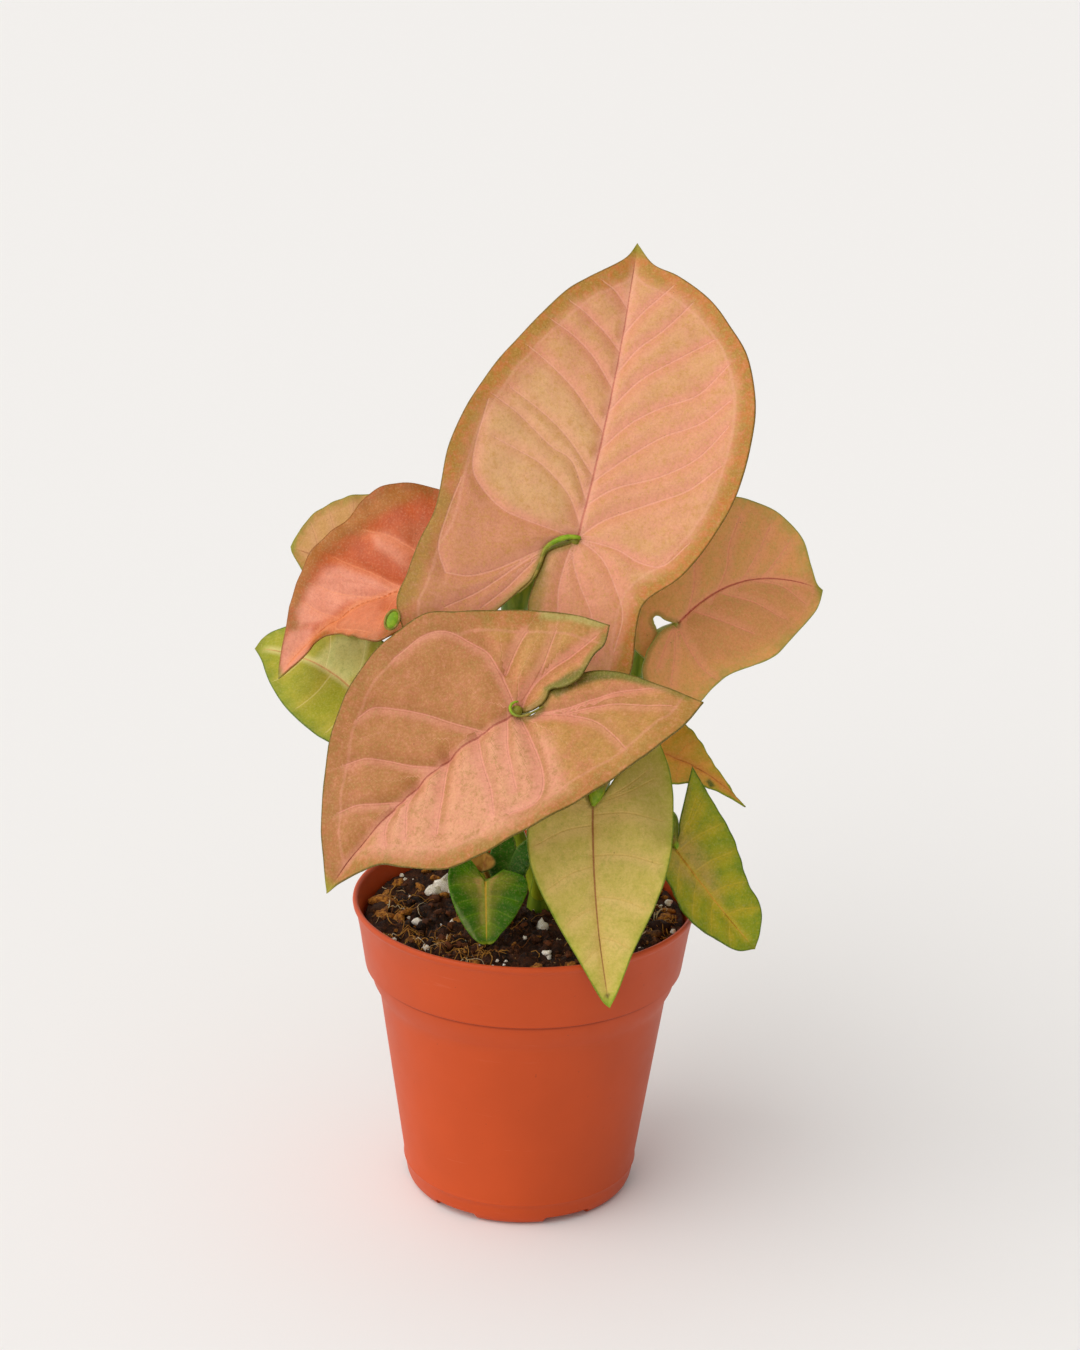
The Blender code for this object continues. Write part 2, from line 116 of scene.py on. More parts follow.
# Where the coir gathers, and the lumps that show: across, back and size
CLUMPS = ((-43, -2), (-43, 7), (-34, -20), (-25, -25), (-15, -31), (41, -9), (42.5, 0))
BARK_LUMPS = [(-43.5, -4, 3.2), (-43.8, 0.5, 3.8), (-43.5, 5.5, 3.6), (-42.5, 10.5, 3.0), (-38.5, -6, 2.3),
              (-36, -4.5, 1.9), (-40, 21, 2.2), (-34, -21, 1.7), (-28, -24, 1.6), (41, -9, 2.4),
              (43.5, -2, 2.4), (39, -14, 2.0), (44, 5, 2.0), (-14, -39, 1.8), (4, -41, 1.7), (14, -38, 1.5)]
PERLITE_LUMPS = [(-26, 16.5, 3.6), (-28.5, 13.5, 2.4), (-24, 19.5, 2.6), (-22.5, 14, 2.0), (5.4, -8.4, 2.2),
                 (-37.8, 22.4, 1.0), (-39, 27, 0.9), (-32.6, 18.8, 1.3), (-32.3, -10.6, 1.5),
                 (-38.7, -21.8, 0.7), (-28.7, -25.5, 1.3), (7, -29.8, 1.0), (35, -23.3, 1.0),
                 (44.5, 8.8, 1.2), (-9, -38, 0.6), (14, -43.5, 0.6), (30, 20, 1.6), (-10, 34, 2.0),
                 (22, 34, 1.4)]

# Stalks in millimetres; the sheath swells at a share of the stalk's length
STEM_FOOT = 80.0
BLADE_GAP = 0.6
STEM_RINGS = 12
STEM_SIDES = 18
STALK_RINGS = 40
STALK_SIDES = 14
KNUCKLE_RINGS = 14
KNUCKLE_SIDES = 12
SHEATH_PLACE = 0.78
SHEATH_WIDTH = 0.09

# Blades in millimetres: the soft bottom of the valley along the midrib, and the folds along the veins
VALLEY_SOFT = 3.0
FOLD_WIDE = 3.0
FOLD_NARROW = 1.3
# Rows of a blade's grid come in this many, so that the midrib's share is a whole number of rows
ROW_STEP = 48

# Stalk tops in a leaf's sinus: across, along and height over the blade, then the first and last radius
STALK_TOPS = {
    "leaf_crown": ([(0.9, 0.5, 0.2), (-2.2, 0.2, 0.5), (-5.6, -1.6, 0.4), (-8.5, -4.8, 0.2),
                    (-9.2, -9.5, 0.0), (-10.4, -14.5, 0.0), (-13.5, -19.2, 0.0)], 1.25, 0.25),
    "leaf_front": ([(1.4, -2.2, -0.2), (2.1, -0.7, 0.2), (1.3, 0.9, 0.4), (-0.6, 1.3, 0.4),
                    (-2.6, 0.2, 0.3), (-4.0, -2.4, 0.1), (-4.9, -6.5, 0.0)], 0.6, 0.3),
    "leaf_coral": ([(0.2, 0.6, 0.2), (-0.6, -1.2, 0.6), (-0.6, -3.4, -0.6)], 0.9, 0.6),
    "leaf_hanging": ([(0.0, 0.6, 0.2), (-0.8, -2, 0.2), (-2.2, -6, -0.6), (-4, -10.5, -1.6)], 0.9, 3.6),
    "leaf_right_lime": ([(0, 0.6, 0.2), (-1.0, -1.2, 0.5), (-1.4, -3.2, -0.9)], 0.9, 0.7),
}

# A young leaf still folded between the stalks, with its place and half sizes in millimetres
YOUNG_PLACE = (-12.8, -10.5, 109.8)
YOUNG_SIZE = (4.4, 3.4)
YOUNG_TURN = -14
YOUNG_LEAN = 66
YOUNG_STALK = ((-7.2, -7, 94), (-10.5, -8, 102))
# The rolled end of the top leaf's left lobe, on that leaf's own plane in millimetres
CURL_PLACE = (-47.5, -35.0)
CURL_SIZE = (1.9, 3.0)
CURL_TURN = -12

# Stage: the point in millimetres that the camera looks at, and the way the soft light travels
CAMERA_TARGET = (2.99, 0, 165.8)
LIGHT_HEADING = (0.72, 0.52, -0.72)

# Colours of the finishes
LEAF_SPOT = "6e4020"
LEAF_GRAIN_PALE = "ecc58f"
LEAF_GRAIN_DARK = "70461e"
UNDER_RIB = "8c9c3c"
STALK_DARK = "5a7a12"
STALK_PALE = "7f951f"
STALK_FOOT = "a6b224"
STALK_TOP = "8f7a2a"
STALK_SPOT = "6a5a2a"
KNUCKLE_DARK = "6f9410"
KNUCKLE_PALE = "8fa822"
SINUS_DARK = "6b6a1c"
SINUS_PALE = "948034"
YOUNG_DARK = "9a6424"
YOUNG_PALE = "b98a3c"
YOUNG_RIM = "3c5208"
POT_COLOUR = "c04815"
POT_SCUFF = "e79a7c"
POT_SPECK = "7a3018"
POT_BAND_SHADE = "8a2c0c"
PEAT_WET = "130804"
PEAT_DRY = "46240f"
PEAT_RUST = "80491f"
PEAT_GRIT = "b08a58"
PERLITE_PORE = "e2d8c4"
PERLITE_WHITE = "fffaf0"
PERLITE_DUST = "b59468"
BARK_BROWN = "5e300e"
BARK_GOLD = "c4822f"
BARK_WET = "2c140a"
CRUMB_DARK = "120703"
CRUMB_BROWN = "643416"
CRUMB_DRY = "7d4f2a"
FIBRE_RUST = "74400f"
FIBRE_STRAW = "c08836"
FIBRE_ROOT = "e2cfa8"
FIBRE_STREAK = "4a2812"


@dataclass
class Look:
    """The colours and pattern of one leaf's upper face, with its painted shade and painted highlight beside
    the veins; distances are in millimetres.
    """
    centre: str
    flush: str
    blotch: str
    margin: str
    margin_spot: str
    vein: str
    rib: str
    edge: str
    band: float = 6.0
    band_soft: float = 4.0
    blotches: float = 0.6
    vein_share: float = 0.5
    hoop_share: float = 0.3
    sinus_band: float = 2.0
    sinus_edge: str = "8a7d2c"
    mottle: float = 0.55
    mottle_and_shade: str = "b0813c"
    mottle_and_highlight: str = "eaa98c"
    # groove: strength of the painted shade and painted highlight beside the side veins
    groove: float = 0.28
    gloss: float = 0.22
    shine: float = 0.48
    tip: str = "84861a"
    under: str = "b9a069"


@dataclass
class Wash:
    """A soft patch of colour on a blade: its colour, strength, soft edge and a ring of points round it; a few
    are painted shade and painted highlights.
    """
    colour: str
    strength: float
    soft: float
    ring: list


@dataclass
class Leaf:
    """One blade: where its stalk joins, which way it faces, how it bends, its outline and veins."""
    name: str
    slot: str
    look: Look
    hub: tuple
    turn: float
    lean: float
    spin: float
    length: float
    left: list
    left_sinus: list
    right: list
    right_sinus: list
    veins: list = field(default_factory=list)
    creases: list = field(default_factory=list)
    washes: list = field(default_factory=list)
    laterals: int = 5
    rise: float = 0.75
    bow: float = 0.0
    fold: float = 0.1
    cup: float = 0.1
    arch: float = -0.1
    droop: float = -0.3
    split: float = 0.0
    wave: float = 0.6
    rib_share: float = 7 / 12
    quilt: float = 0.7


@dataclass
class Stalk:
    """A leaf stalk: its leaf, the points that it passes, its thickness and how far its sheath swells."""
    leaf: str
    way: list
    foot: float = 2.0
    top: float = 1.2
    sheath: float = 0.0


@dataclass
class Shoot:
    """A leafy shoot: a short stem in the soil, with the stalks that leave it."""
    name: str
    stem: list
    radius: float
    stalks: list = field(default_factory=list)


CROWN = Look("d79371", "dd8d73", "d19d66", "bf7434", "a57b2f", "e7a68b", "ba6654", "725a13",
             band=6.2, band_soft=4.0, blotches=0.75, mottle_and_shade="bd883e", under="bb976d")
FRONT = Look("bf7650", "cc7a60", "b68240", "aa6a30", "976e2a", "d89078", "9b4939", "595108",
             band=6.0, band_soft=5.0, blotches=0.95, vein_share=0.6, sinus_band=2.6, sinus_edge="707220",
             tip="9d982e", mottle_and_shade="956e2c", mottle_and_highlight="e6a084",
             groove=0.5, under="a0763f")
CORAL = Look("c45416", "d0642f", "b04507", "a84f00", "945600", "e48b57", "d87746", "8a4f02",
             band=6.0, band_soft=4.0, blotches=0.8, vein_share=0.35, hoop_share=0.0, mottle=0.3,
             mottle_and_shade="a04403", mottle_and_highlight="e07d40", shine=0.34, gloss=0.35, under="b15219")
TAN_LEAF = Look("c18f53", "c48e5c", "b98a44", "a97b35", "8f7b2a", "c68f61", "b97d51", "7e7b23",
                band=3.0, band_soft=3.0, blotches=0.5, mottle=0.4, mottle_and_shade="a47e35", mottle_and_highlight="d1a071",
                under="a98e47")
LIME_LEAF = Look("a59f24", "b3a431", "939716", "858f13", "6f830f", "dfd089", "cc8f54", "4a6609",
                 band=2.5, band_soft=4.0, blotches=0.7, vein_share=0.35, hoop_share=0.0,
                 mottle=0.4, mottle_and_shade="7c890f", mottle_and_highlight="c0b240", under="a3a534")
# Painted light: the right back leaf's colours are raised to make up for the shade that the top leaf casts on
# it
RIGHT_BACK = Look("e79c5f", "ec9d68", "d8a454", "d4a04f", "af9e47", "ef9a75", "c35949", "989d47",
                  band=3.0, band_soft=6.0, blotches=0.7, vein_share=0.55, hoop_share=0.15,
                  mottle=0.4, mottle_and_shade="b99a49", mottle_and_highlight="f3ab85", under="d8b762")
SMALL_PINK = Look("d59b32", "da983a", "b49720", "be9825", "9f9316", "d48637", "c1722f", "7e9110",
                  band=2.0, band_soft=4.0, blotches=0.8, vein_share=0.3, hoop_share=0.0,
                  mottle=0.4, mottle_and_shade="a49418", mottle_and_highlight="e6a248", under="b9a62a")
RIGHT_LIME = Look("a29e0f", "af9e18", "849206", "7a8e05", "628203", "c8ac29", "d1962c", "436502",
                  band=2.0, band_soft=4.0, blotches=0.9, vein_share=0.4, hoop_share=0.0,
                  mottle=0.5, mottle_and_shade="627e02", mottle_and_highlight="c4a71e", under="95a315")
HANGING = Look("d5bb65", "daba68", "bbae44", "b3b237", "9aa724", "cdae57", "8d4624", "657f0c",
               band=1.8, band_soft=3.0, blotches=0.6, vein_share=0.4, mottle=0.5,
               mottle_and_shade="a49f37", mottle_and_highlight="e4c880", hoop_share=0.0, tip="83a222",
               under="aeb147")
SMALL_GREEN = Look("2c6902", "447804", "1f5a01", "2f7302", "205a01", "7ca61a", "dcad38", "4f8508",
                   band=1.0, band_soft=2.5, blotches=0.8, vein_share=0.28, hoop_share=0.0, sinus_band=0.6,
                   mottle=0.4, mottle_and_shade="1c5601", mottle_and_highlight="4e8405", shine=0.38, gloss=0.08,
                   tip="7f9312", under="5e8e11")
SECOND_GREEN = Look("205b07", "2c6d0b", "144804", "1d5806", "144604", "427222", "4f7d2c", "5c8434",
                    band=1.0, band_soft=2.5, blotches=0.6, vein_share=0.25, hoop_share=0.0, sinus_band=0.6,
                    mottle=0.4, mottle_and_shade="124004", mottle_and_highlight="306c14", shine=0.36, gloss=0.1,
                    under="416e21")

LEAVES = [
    Leaf("leaf_crown", "leaf_pink", CROWN, (12.9, 0, 208.1), 0, 27, -10, 93, bow=1.5,
         fold=0.12, arch=-0.08, droop=-0.25, wave=0.8, split=-0.8, rib_share=10 / 16, laterals=0,
         quilt=0.95,
         left=[(-3, 87), (-12.5, 78.5), (-19, 71.5), (-28.5, 56), (-34.5, 44.5), (-39.5, 30.5),
               (-42, 17.5), (-42, 0.5), (-44.5, -10), (-46, -20.5), (-47, -31), (-38, -46)],
         left_sinus=[(-5, -1.4), (-8.6, -5.0), (-9.3, -9.5), (-10.6, -14.5), (-13.6, -18.8), (-18.2, -25),
                     (-27, -36.5), (-38, -46)],
         right=[(6, 87), (14, 84.5), (23.5, 79.5), (31, 72.5), (39, 62), (44, 45), (43.5, 23.5),
                (39, 8), (32, -5.5), (23.5, -14), (22, -21), (23, -34), (20.5, -41), (14, -44)],
         right_sinus=[(-3.5, -2.6), (-7.6, -5.4), (-8.7, -10), (-9.8, -15), (-10.2, -22.5), (-7, -31),
                      (0, -38.5), (14, -44)],
         # The first wash is painted shade on the left lobe below the left crease, and the second is painted
         # light above that crease
         washes=[Wash("c97c5c", 0.55, 4, [(-0.5, 1), (-15, 1.5), (-26.5, 3.5), (-33.5, 12.5), (-42, 8),
                                          (-44, -8), (-48, -32), (-38, -46), (-19, -25), (-9.5, -4.5)]),
                 Wash("dcb07a", 0.5, 9, [(-34, 30), (-19, 50), (-1, 37), (-1, 18), (-6, 3), (-24, 7),
                                          (-33, 15)]),
                 Wash("93842c", 0.5, 4, [(-43, 10), (-38, 3), (-41, -9.5), (-42, -27), (-49, -34),
                                          (-50, -5)]),
                 Wash("da9272", 0.4, 9, [(1, 2), (12, 4), (32, 8), (37, 30), (33, 55), (14, 40), (3, 22)]),
                 Wash("dd9070", 0.55, 4, [(-2, -4), (10, -2), (20, -12), (18, -30), (4, -32), (-6, -22)]),
                 Wash("8a7c2a", 0.6, 2.5, [(-9, -5.5), (-10, -14), (-11, -24), (-7.5, -31), (-6.3, -22),
                                           (-6.8, -11)])],
         creases=[[(0, 0.5), (-7.5, 1.5), (-15.5, 2.5), (-22.5, 4), (-29, 8), (-33.5, 13),
                   (-34.5, 20), (-34, 28), (-33.5, 34.5)],
                  [(-3, 0.5), (-9, -4.5), (-15.5, -9.5), (-22.5, -14.5), (-29, -17.5), (-35.5, -18)],
                  [(0, 0.5), (6.5, 7), (17.5, 13.5), (29, 20), (37, 28.5)]],
         veins=[[(0, 10), (8, 17), (20, 22.5), (30, 30), (37, 40.5)],
                [(0.5, 17), (9, 26), (18.5, 34.5), (29, 40.5), (36, 48.5)],
                [(1, 27), (8.5, 37), (17, 43.5), (26.5, 49), (33.5, 59)],
                [(1.3, 39), (8.5, 50), (17.5, 58), (28, 66.5)],
                [(1.5, 51), (6.5, 60), (12.5, 66.5), (19.5, 76.5)],
                [(1.2, 63), (5.5, 71), (9.5, 76.5), (13, 81)],
                [(0, 0), (6, 0), (12.5, -1), (19, -3.5), (26, -3.5), (32, 4)],
                [(0, 0), (4, -1.5), (9, -5), (13.5, -11.5), (17.5, -19.5), (17, -30)],
                [(0, 0), (0, -6), (3.5, -13), (8.5, -21), (12, -32)],
                [(-1, -1), (-2, -7), (-2.5, -15), (-1, -24)],
                [(0, 4.5), (-5, 12.5), (-13.5, 19), (-20, 21.5), (-29, 24)],
                [(0.3, 12), (-6, 22.5), (-13, 25.5), (-23.5, 32.5), (-32, 36.5)],
                [(0.5, 20), (-8.5, 29), (-16.5, 34.5), (-27.5, 40)],
                [(1, 33.5), (-6.5, 41), (-11.5, 45.5), (-20, 51), (-25, 53.5)],
                [(1.3, 47), (-6, 55), (-13, 60), (-20, 63)],
                [(1.3, 58.5), (-4.5, 63.5), (-11.5, 68), (-16, 70)],
                [(1, 72), (-3.5, 76.5), (-7.5, 78.5)],
                [(-9, -5), (-16, -12), (-24.5, -21), (-33.5, -28)],
                [(-9.3, -6.5), (-14, -13.5), (-18, -19.5), (-23, -25.5)],
                [(-35.5, -18), (-39, -11), (-38.5, -2), (-37.5, 5), (-36.5, 10)]]),
    Leaf("leaf_front", "leaf_pink", FRONT, (-3.7, -40, 169.2), -18, 36, 142, 75, bow=4,
         fold=0.12, cup=0.06, arch=-0.12, wave=1.1, split=0.9, rib_share=10 / 16, laterals=0, quilt=1.7,
         left=[(-1, 70), (-6, 58.5), (-12.5, 53), (-22, 44), (-28.5, 28), (-34, 7.5), (-37, -12),
               (-37.5, -30), (-35, -40.5)],
         left_sinus=[(-3.9, -2), (-3.4, -7), (-2.0, -10.5), (-2.8, -14), (-3.6, -19), (-6.0, -24),
                     (-11.6, -29.2), (-20, -33.8), (-35, -40.5)],
         right=[(7, 69.5), (16, 62.5), (29, 48.5), (36.5, 35), (41, 18), (39.5, 1.5), (31.5, -8),
                (18, -23), (9, -31), (0.5, -36)],
         right_sinus=[(-2.5, -2.5), (-4, -6.5), (-3.8, -9), (-2.8, -11.3), (-5.3, -14.8), (-6.3, -19),
                      (-5.2, -22.5), (-3.8, -27), (-3.3, -31), (0.5, -36)],
         washes=[Wash("a8683e", 0.6, 6, [(1, 2), (4, 14), (5, 31), (4, 52), (0, 74), (10, 70), (36, 42),
                                         (43, 18), (40, 0), (29, -11), (11, -4)]),
                 Wash("b98a48", 0.5, 5, [(15, -7), (16, -14), (14, -24), (7, -34), (2, -33), (5, -21),
                                         (4, -9)]),
                 Wash("ae8038", 0.55, 6, [(-15, -14), (-21, -31), (-36, -42), (-38, -26), (-35, -9),
                                          (-26, -5)]),
                 Wash("e6a288", 0.5, 6, [(-1, 2), (3, 25), (4, 45), (0, 60), (-14, 48), (-27, 24), (-30, 4),
                                         (-14, -2)]),
                 # Painted shadow: a dark green band on the left lobe along its sinus, where the right lobe
                 # lies over it
                 Wash("4c5a10", 0.8, 1.6, [(-1, -10), (-2, -14), (-3, -19), (-5.5, -24.8), (-11.5, -30.2),
                                            (-20, -34.8), (-19.5, -32), (-13.2, -27.6), (-9, -22.5),
                                            (-7, -18), (-5.5, -11)]),
                 Wash("a8a45c", 0.7, 2, [(18, -24), (12, -28), (7, -34), (0, -37), (2, -33), (9, -28.5),
                                         (15, -22.5)])],
         creases=[[(0, 0), (-10, 2.5), (-19, 5.5), (-24.5, 9.5), (-26, 14), (-23.5, 20.5)],
                  [(3.5, 23.5), (-1, 28.5), (-6, 34), (-11, 39.5)],
                  [(0, -1), (2, -6), (2.5, -13), (1.2, -22.5), (0.5, -31)],
                  [(10.5, -5), (13, -10.5), (15, -17)]],
         veins=[[(2.6, 11), (9.5, 15.5), (16, 19), (23, 24), (29, 29.5), (30, 34.5)],
                [(4, 27.5), (10, 33), (15.5, 37), (20.5, 41.5), (23, 46.5)],
                [(3.5, 41), (8, 47), (12, 52), (14, 57)],
                [(0, 0), (4, -1.5), (10.5, -3.5), (18, -5), (23.5, -3.5), (31, -0.5), (35, 6),
                 (35.5, 16)],
                [(1.5, -3), (3.5, -11.5), (6.5, -18), (9.5, -23.5)],
                [(0.5, 3.5), (-6.5, 8.5), (-12.5, 11.5), (-18.5, 14.5)],
                [(2.7, 13), (-5.5, 17), (-13.5, 20), (-19.5, 23.5)],
                [(4, 35.5), (1, 41.5), (-5.5, 47)],
                [(3.3, 45), (1, 50), (-3, 53)],
                [(-2, -0.5), (-9, -9.5), (-13, -18.5), (-17, -26.5), (-24, -35.5)],
                [(-2.5, -0.5), (-9, -7.5), (-18, -14), (-26, -15.5), (-31.5, -15.5)],
                [(-10, -8.5), (-17, -20), (-24, -27), (-30, -33)]]),
    Leaf("leaf_coral", "leaf_coral", CORAL, (-36.7, 7, 190.3), -30, 48, 140, 47.5, bow=5,
         fold=0.45, arch=-0.2, wave=0.9, laterals=0, quilt=1.1,
         left=[(-0.5, 43.5), (-1, 36), (1.5, 32), (-0.5, 26), (-8, 22), (-17.5, 17.5), (-20.5, 12.5),
               (-19.5, 5), (-17, -3), (-12, -9)],
         left_sinus=[(-2, -3), (-6, -7), (-12, -9)],
         right=[(3, 45.5), (13, 36.5), (18, 31.5), (25, 18.5), (27, 3), (28.5, -4), (26.5, -14),
                (19.5, -23.5), (12, -27)],
         right_sinus=[(0.5, -7), (5, -16), (12, -27)],
         washes=[Wash("a8670e", 0.7, 3.5, [(21.5, 30), (26.5, 20.5), (28, 10), (26.5, -3), (26, -12),
                                           (22, -17), (21, -12), (22, -2), (23.5, 6.5), (23, 16),
                                           (20, 25), (16, 31), (16.5, 35)]),
                 # Painted shade: the next two dark red washes lie along the two folds
                 Wash("b84c18", 0.75, 2.5, [(18, 10), (16, 5.5), (9.5, 2), (3.5, -1), (2, -0.5), (7, 4.5),
                                            (12.5, 8)]),
                 Wash("b0561e", 0.6, 3, [(17, -6), (14, -14.5), (9, -10), (8, -7), (13, -6)]),
                 # Painted highlights: the pale pink washes from here on
                 Wash("e6967a", 0.8, 3.5, [(18.5, 19), (17.5, 14), (11, 9), (4.5, 4), (1, 1), (-0.5, 2),
                                           (4, 10), (7, 17.5), (7, 27.5), (9.5, 34), (13.5, 32.5), (17, 26)]),
                 Wash("e2906f", 0.7, 3, [(19, 1.5), (18, -2.5), (13.5, -5.5), (8.5, -7), (5.5, -4.5),
                                         (4.5, -2), (10, 0), (15.5, 2.5)]),
                 Wash("dd8763", 0.7, 3.5, [(5.5, 17), (4, 10), (0, 2.5), (-6.5, 4.5), (-9, 10.5), (-16.5, 13),
                                           (-19, 16), (-9, 21), (1, 25.5), (4.5, 29)]),
                 Wash("c0572a", 0.5, 2, [(1.5, 8.5), (-4, 5), (-9, 8.5), (-4, 11)]),
                 Wash("e6967c", 0.75, 3, [(0, 47), (8, 42), (9.5, 37.5), (7.5, 31), (3, 34), (-3, 37)])],
         creases=[[(0, 0), (4.5, 3.5), (11, 7.5), (15.5, 11), (20, 14.5)],
                  [(3, -4.5), (8.5, -7), (12.5, -5), (16.5, -2.5), (21.5, 2.5)]],
         veins=[[(2.5, 7), (7.5, 15), (12, 20), (16, 23)],
                [(0, 0), (-1.5, 6), (-8, 10), (-15, 14)],
                [(4.7, 23.5), (1, 25), (-4.5, 21.5), (-14.5, 16)],
                [(4.7, 22), (10, 27), (14, 29)],
                [(0, 0), (-6, 0.5), (-12, 1.5), (-15, 1)]]),
    Leaf("leaf_tan", "leaf_tan", TAN_LEAF, (-40.8, 27, 189), -20, 35, 85, 37.5, bow=-1.5, droop=-0.2,
         left=[(-3, 35), (-12.5, 23), (-17, 13), (-18, 1), (-16, -8), (-10, -14)],
         left_sinus=[(-2.5, -4.5), (-5, -10), (-10, -14)],
         right=[(3.5, 36.5), (12, 32.5), (18.5, 23), (21, 13), (20, 2), (17, -8), (10, -12)],
         right_sinus=[(2.5, -4), (6, -9), (10, -12)]),
    Leaf("leaf_lime", "leaf_lime", LIME_LEAF, (-50.1, 4, 155.1), -25, 45, 75, 45, bow=4, arch=-0.15,
         fold=0.12, laterals=3,
         washes=[Wash("d6d484", 0.8, 3, [(14, 20), (18, 9), (8, 6), (3, 8), (4.5, 23)])],
         left=[(-3, 39), (-8.5, 30.5), (-13.5, 19), (-16.5, 4), (-15, -9), (-8.5, -18)],
         left_sinus=[(-2.5, -5), (-5, -12), (-8.5, -18)],
         right=[(4.5, 44), (9.5, 40), (14, 33), (17.5, 23), (19, 10), (17, -3), (10, -13)],
         right_sinus=[(2.5, -4), (6, -9), (10, -13)]),
    Leaf("leaf_right_back", "leaf_tan", RIGHT_BACK, (43.9, 12, 178.8), 15, 28, -80, 50, bow=-8,
         arch=-0.25, droop=-0.25, split=1.8, wave=0.7, rib_share=8 / 14, laterals=0, quilt=0.6,
         left=[(-2.5, 48.5), (-8, 48), (-17, 47), (-26.5, 40.5), (-33, 29.5), (-34, 18), (-25, 3),
               (-16, -5), (-7, -12), (2, -15), (9.5, -11.5)],
         left_sinus=[(-2, -3.3), (-3.6, -4.8), (-3.9, -6.2), (-2.4, -7.2), (1.4, -6.6), (5.5, -8.8),
                     (9.5, -11.5)],
         right=[(4, 47), (7, 43.5), (12.5, 34), (17, 25), (18.5, 12), (21, 5), (27, -5), (28, -12)],
         right_sinus=[(-0.2, -3), (1, -6.4), (4.2, -10.5), (7, -13), (14, -16), (28, -12)],
         washes=[Wash("c87c52", 0.5, 6, [(-1, 0.5), (-6, 22), (-6, 47), (0, 50), (10, 36), (15, 15),
                                         (13, 3)])],
         veins=[[(0.5, -1), (9, -4), (17, -8)],
                [(0, 0), (7, 1), (14.5, 3), (18.5, 5.5)],
                [(0.5, -1.5), (4.5, -5), (11.5, -10.5)],
                [(-1.5, 3.5), (-10, 8), (-18, 10.5), (-25, 15)],
                [(-4.5, 13), (-12.5, 19.5), (-19.5, 22.5), (-27, 28)],
                [(-7, 22.5), (-15, 31), (-22, 37)],
                [(-7.8, 31), (-12, 37), (-16, 42)],
                [(-2.5, 6.5), (2.5, 14), (8, 21.5)],
                [(-5.5, 17), (-1, 25.5), (5.5, 33)],
                [(-7.5, 28), (-4, 36.5), (2.5, 42)]]),
    Leaf("leaf_small_pink", "leaf_pink", SMALL_PINK, (36.5, 2, 142.7), 15, 50, -128, 33.5, bow=-2.5,
         fold=0.2, arch=-0.25, rib_share=0.6, laterals=4,
         left=[(-1, 30), (-3, 26), (-6, 20), (-10, 12), (-13, 4), (-12.5, -4), (-7, -8)],
         left_sinus=[(-1.5, -2.5), (-3.5, -6), (-7, -8)],
         right=[(0.5, 29), (1.5, 22), (5, 15.5), (10, 9), (14, 1), (13, -5), (8, -8)],
         right_sinus=[(1.5, -2.5), (4, -6), (8, -8)],
         washes=[Wash("3f5212", 0.9, 1, [(-1.5, 20), (0, 22.5), (1.5, 21.5), (0.5, 19.5)])]),
    Leaf("leaf_right_lime", "leaf_lime", RIGHT_LIME, (44.4, -14, 117.4), 20, 20, -145, 41, bow=0.5,
         fold=0.2, droop=-0.2, laterals=4, quilt=1.0,
         left=[(-4.5, 37.5), (-9, 31.5), (-10.5, 23.5), (-13, 15.5), (-16, 6), (-17.5, -6),
               (-19, -15.5)],
         left_sinus=[(-3.5, -2), (-6, -5), (-12, -10), (-19, -15.5)],
         right=[(5, 37), (8, 30), (10.5, 23), (11, 16), (9.5, 9), (8, 2), (4.5, -5)],
         right_sinus=[(0.5, -2), (2, -4.5), (4.5, -5)],
         washes=[Wash("c39a58", 0.65, 6, [(1, -4), (-6, 0), (-5, 12), (-1, 22), (3, 15), (5, 4)])]),
    Leaf("leaf_hanging", "leaf_sage", HANGING, (19.2, -33, 138.2), 3, 24, -175, 59, bow=1.5,
         fold=0.12, wave=0.5, rib_share=8 / 14, laterals=4, rise=0.9, quilt=0.8,
         left=[(-3, 54), (-8, 43.5), (-15, 31.5), (-20, 20), (-22.5, 8), (-23, -6), (-20, -19)],
         left_sinus=[(-4, -3.5), (-10, -10.5), (-20, -19)],
         right=[(2.5, 56), (8, 44.5), (14, 32), (19, 19), (20, 8), (17, -4), (9, -14)],
         right_sinus=[(1, -3), (4, -9), (9, -14)],
         washes=[Wash("7f7c1c", 0.5, 8, [(-4, -8), (-24, -20), (-25, 12), (-17, 14), (-12, 0)]),
                 Wash("5a3c10", 0.85, 1.2, [(1, -4), (-1, 0.6), (0.6, 1), (2.6, -3)]),
                 Wash("33300c", 0.9, 0.8, [(-0.4, 55), (0.6, 54.6), (1.2, 55.6), (0.2, 56.2)])]),
    Leaf("leaf_small_green", "leaf_dark_green", SMALL_GREEN, (-11.8, -18, 107), -5, 32, -175, 19,
         fold=0.12, cup=0.2, arch=-0.3, droop=-0.6, wave=0.2, rib_share=0.6, laterals=4, quilt=0.35,
         left=[(-2, 18.8), (-4.5, 16), (-8.5, 11.5), (-12.5, 4), (-11.5, -0.5), (-5.5, -3)],
         left_sinus=[(-1.5, -0.7), (-3.5, -1.8), (-5.5, -3)],
         right=[(2, 18.8), (5, 16), (8.5, 10), (11, 1.5), (10, -5), (5, -7)],
         right_sinus=[(1.2, -1.5), (3, -4.5), (5, -7)],
         washes=[Wash("a89a3c", 0.55, 4, [(8.5, 0), (3, -3), (0.5, -1), (-4.5, -3), (-9, 0), (-5, 4),
                                         (-2.5, 9), (-2, 16), (2, 16), (2.6, 8), (5, 4)]),
                 Wash("d8a468", 0.8, 1.6, [(3.5, -0.5), (0.5, -1), (-3.5, -1), (-1.8, 2), (-1.2, 7),
                                            (-0.7, 13), (1.4, 13), (1.6, 6), (2, 2.5)]),
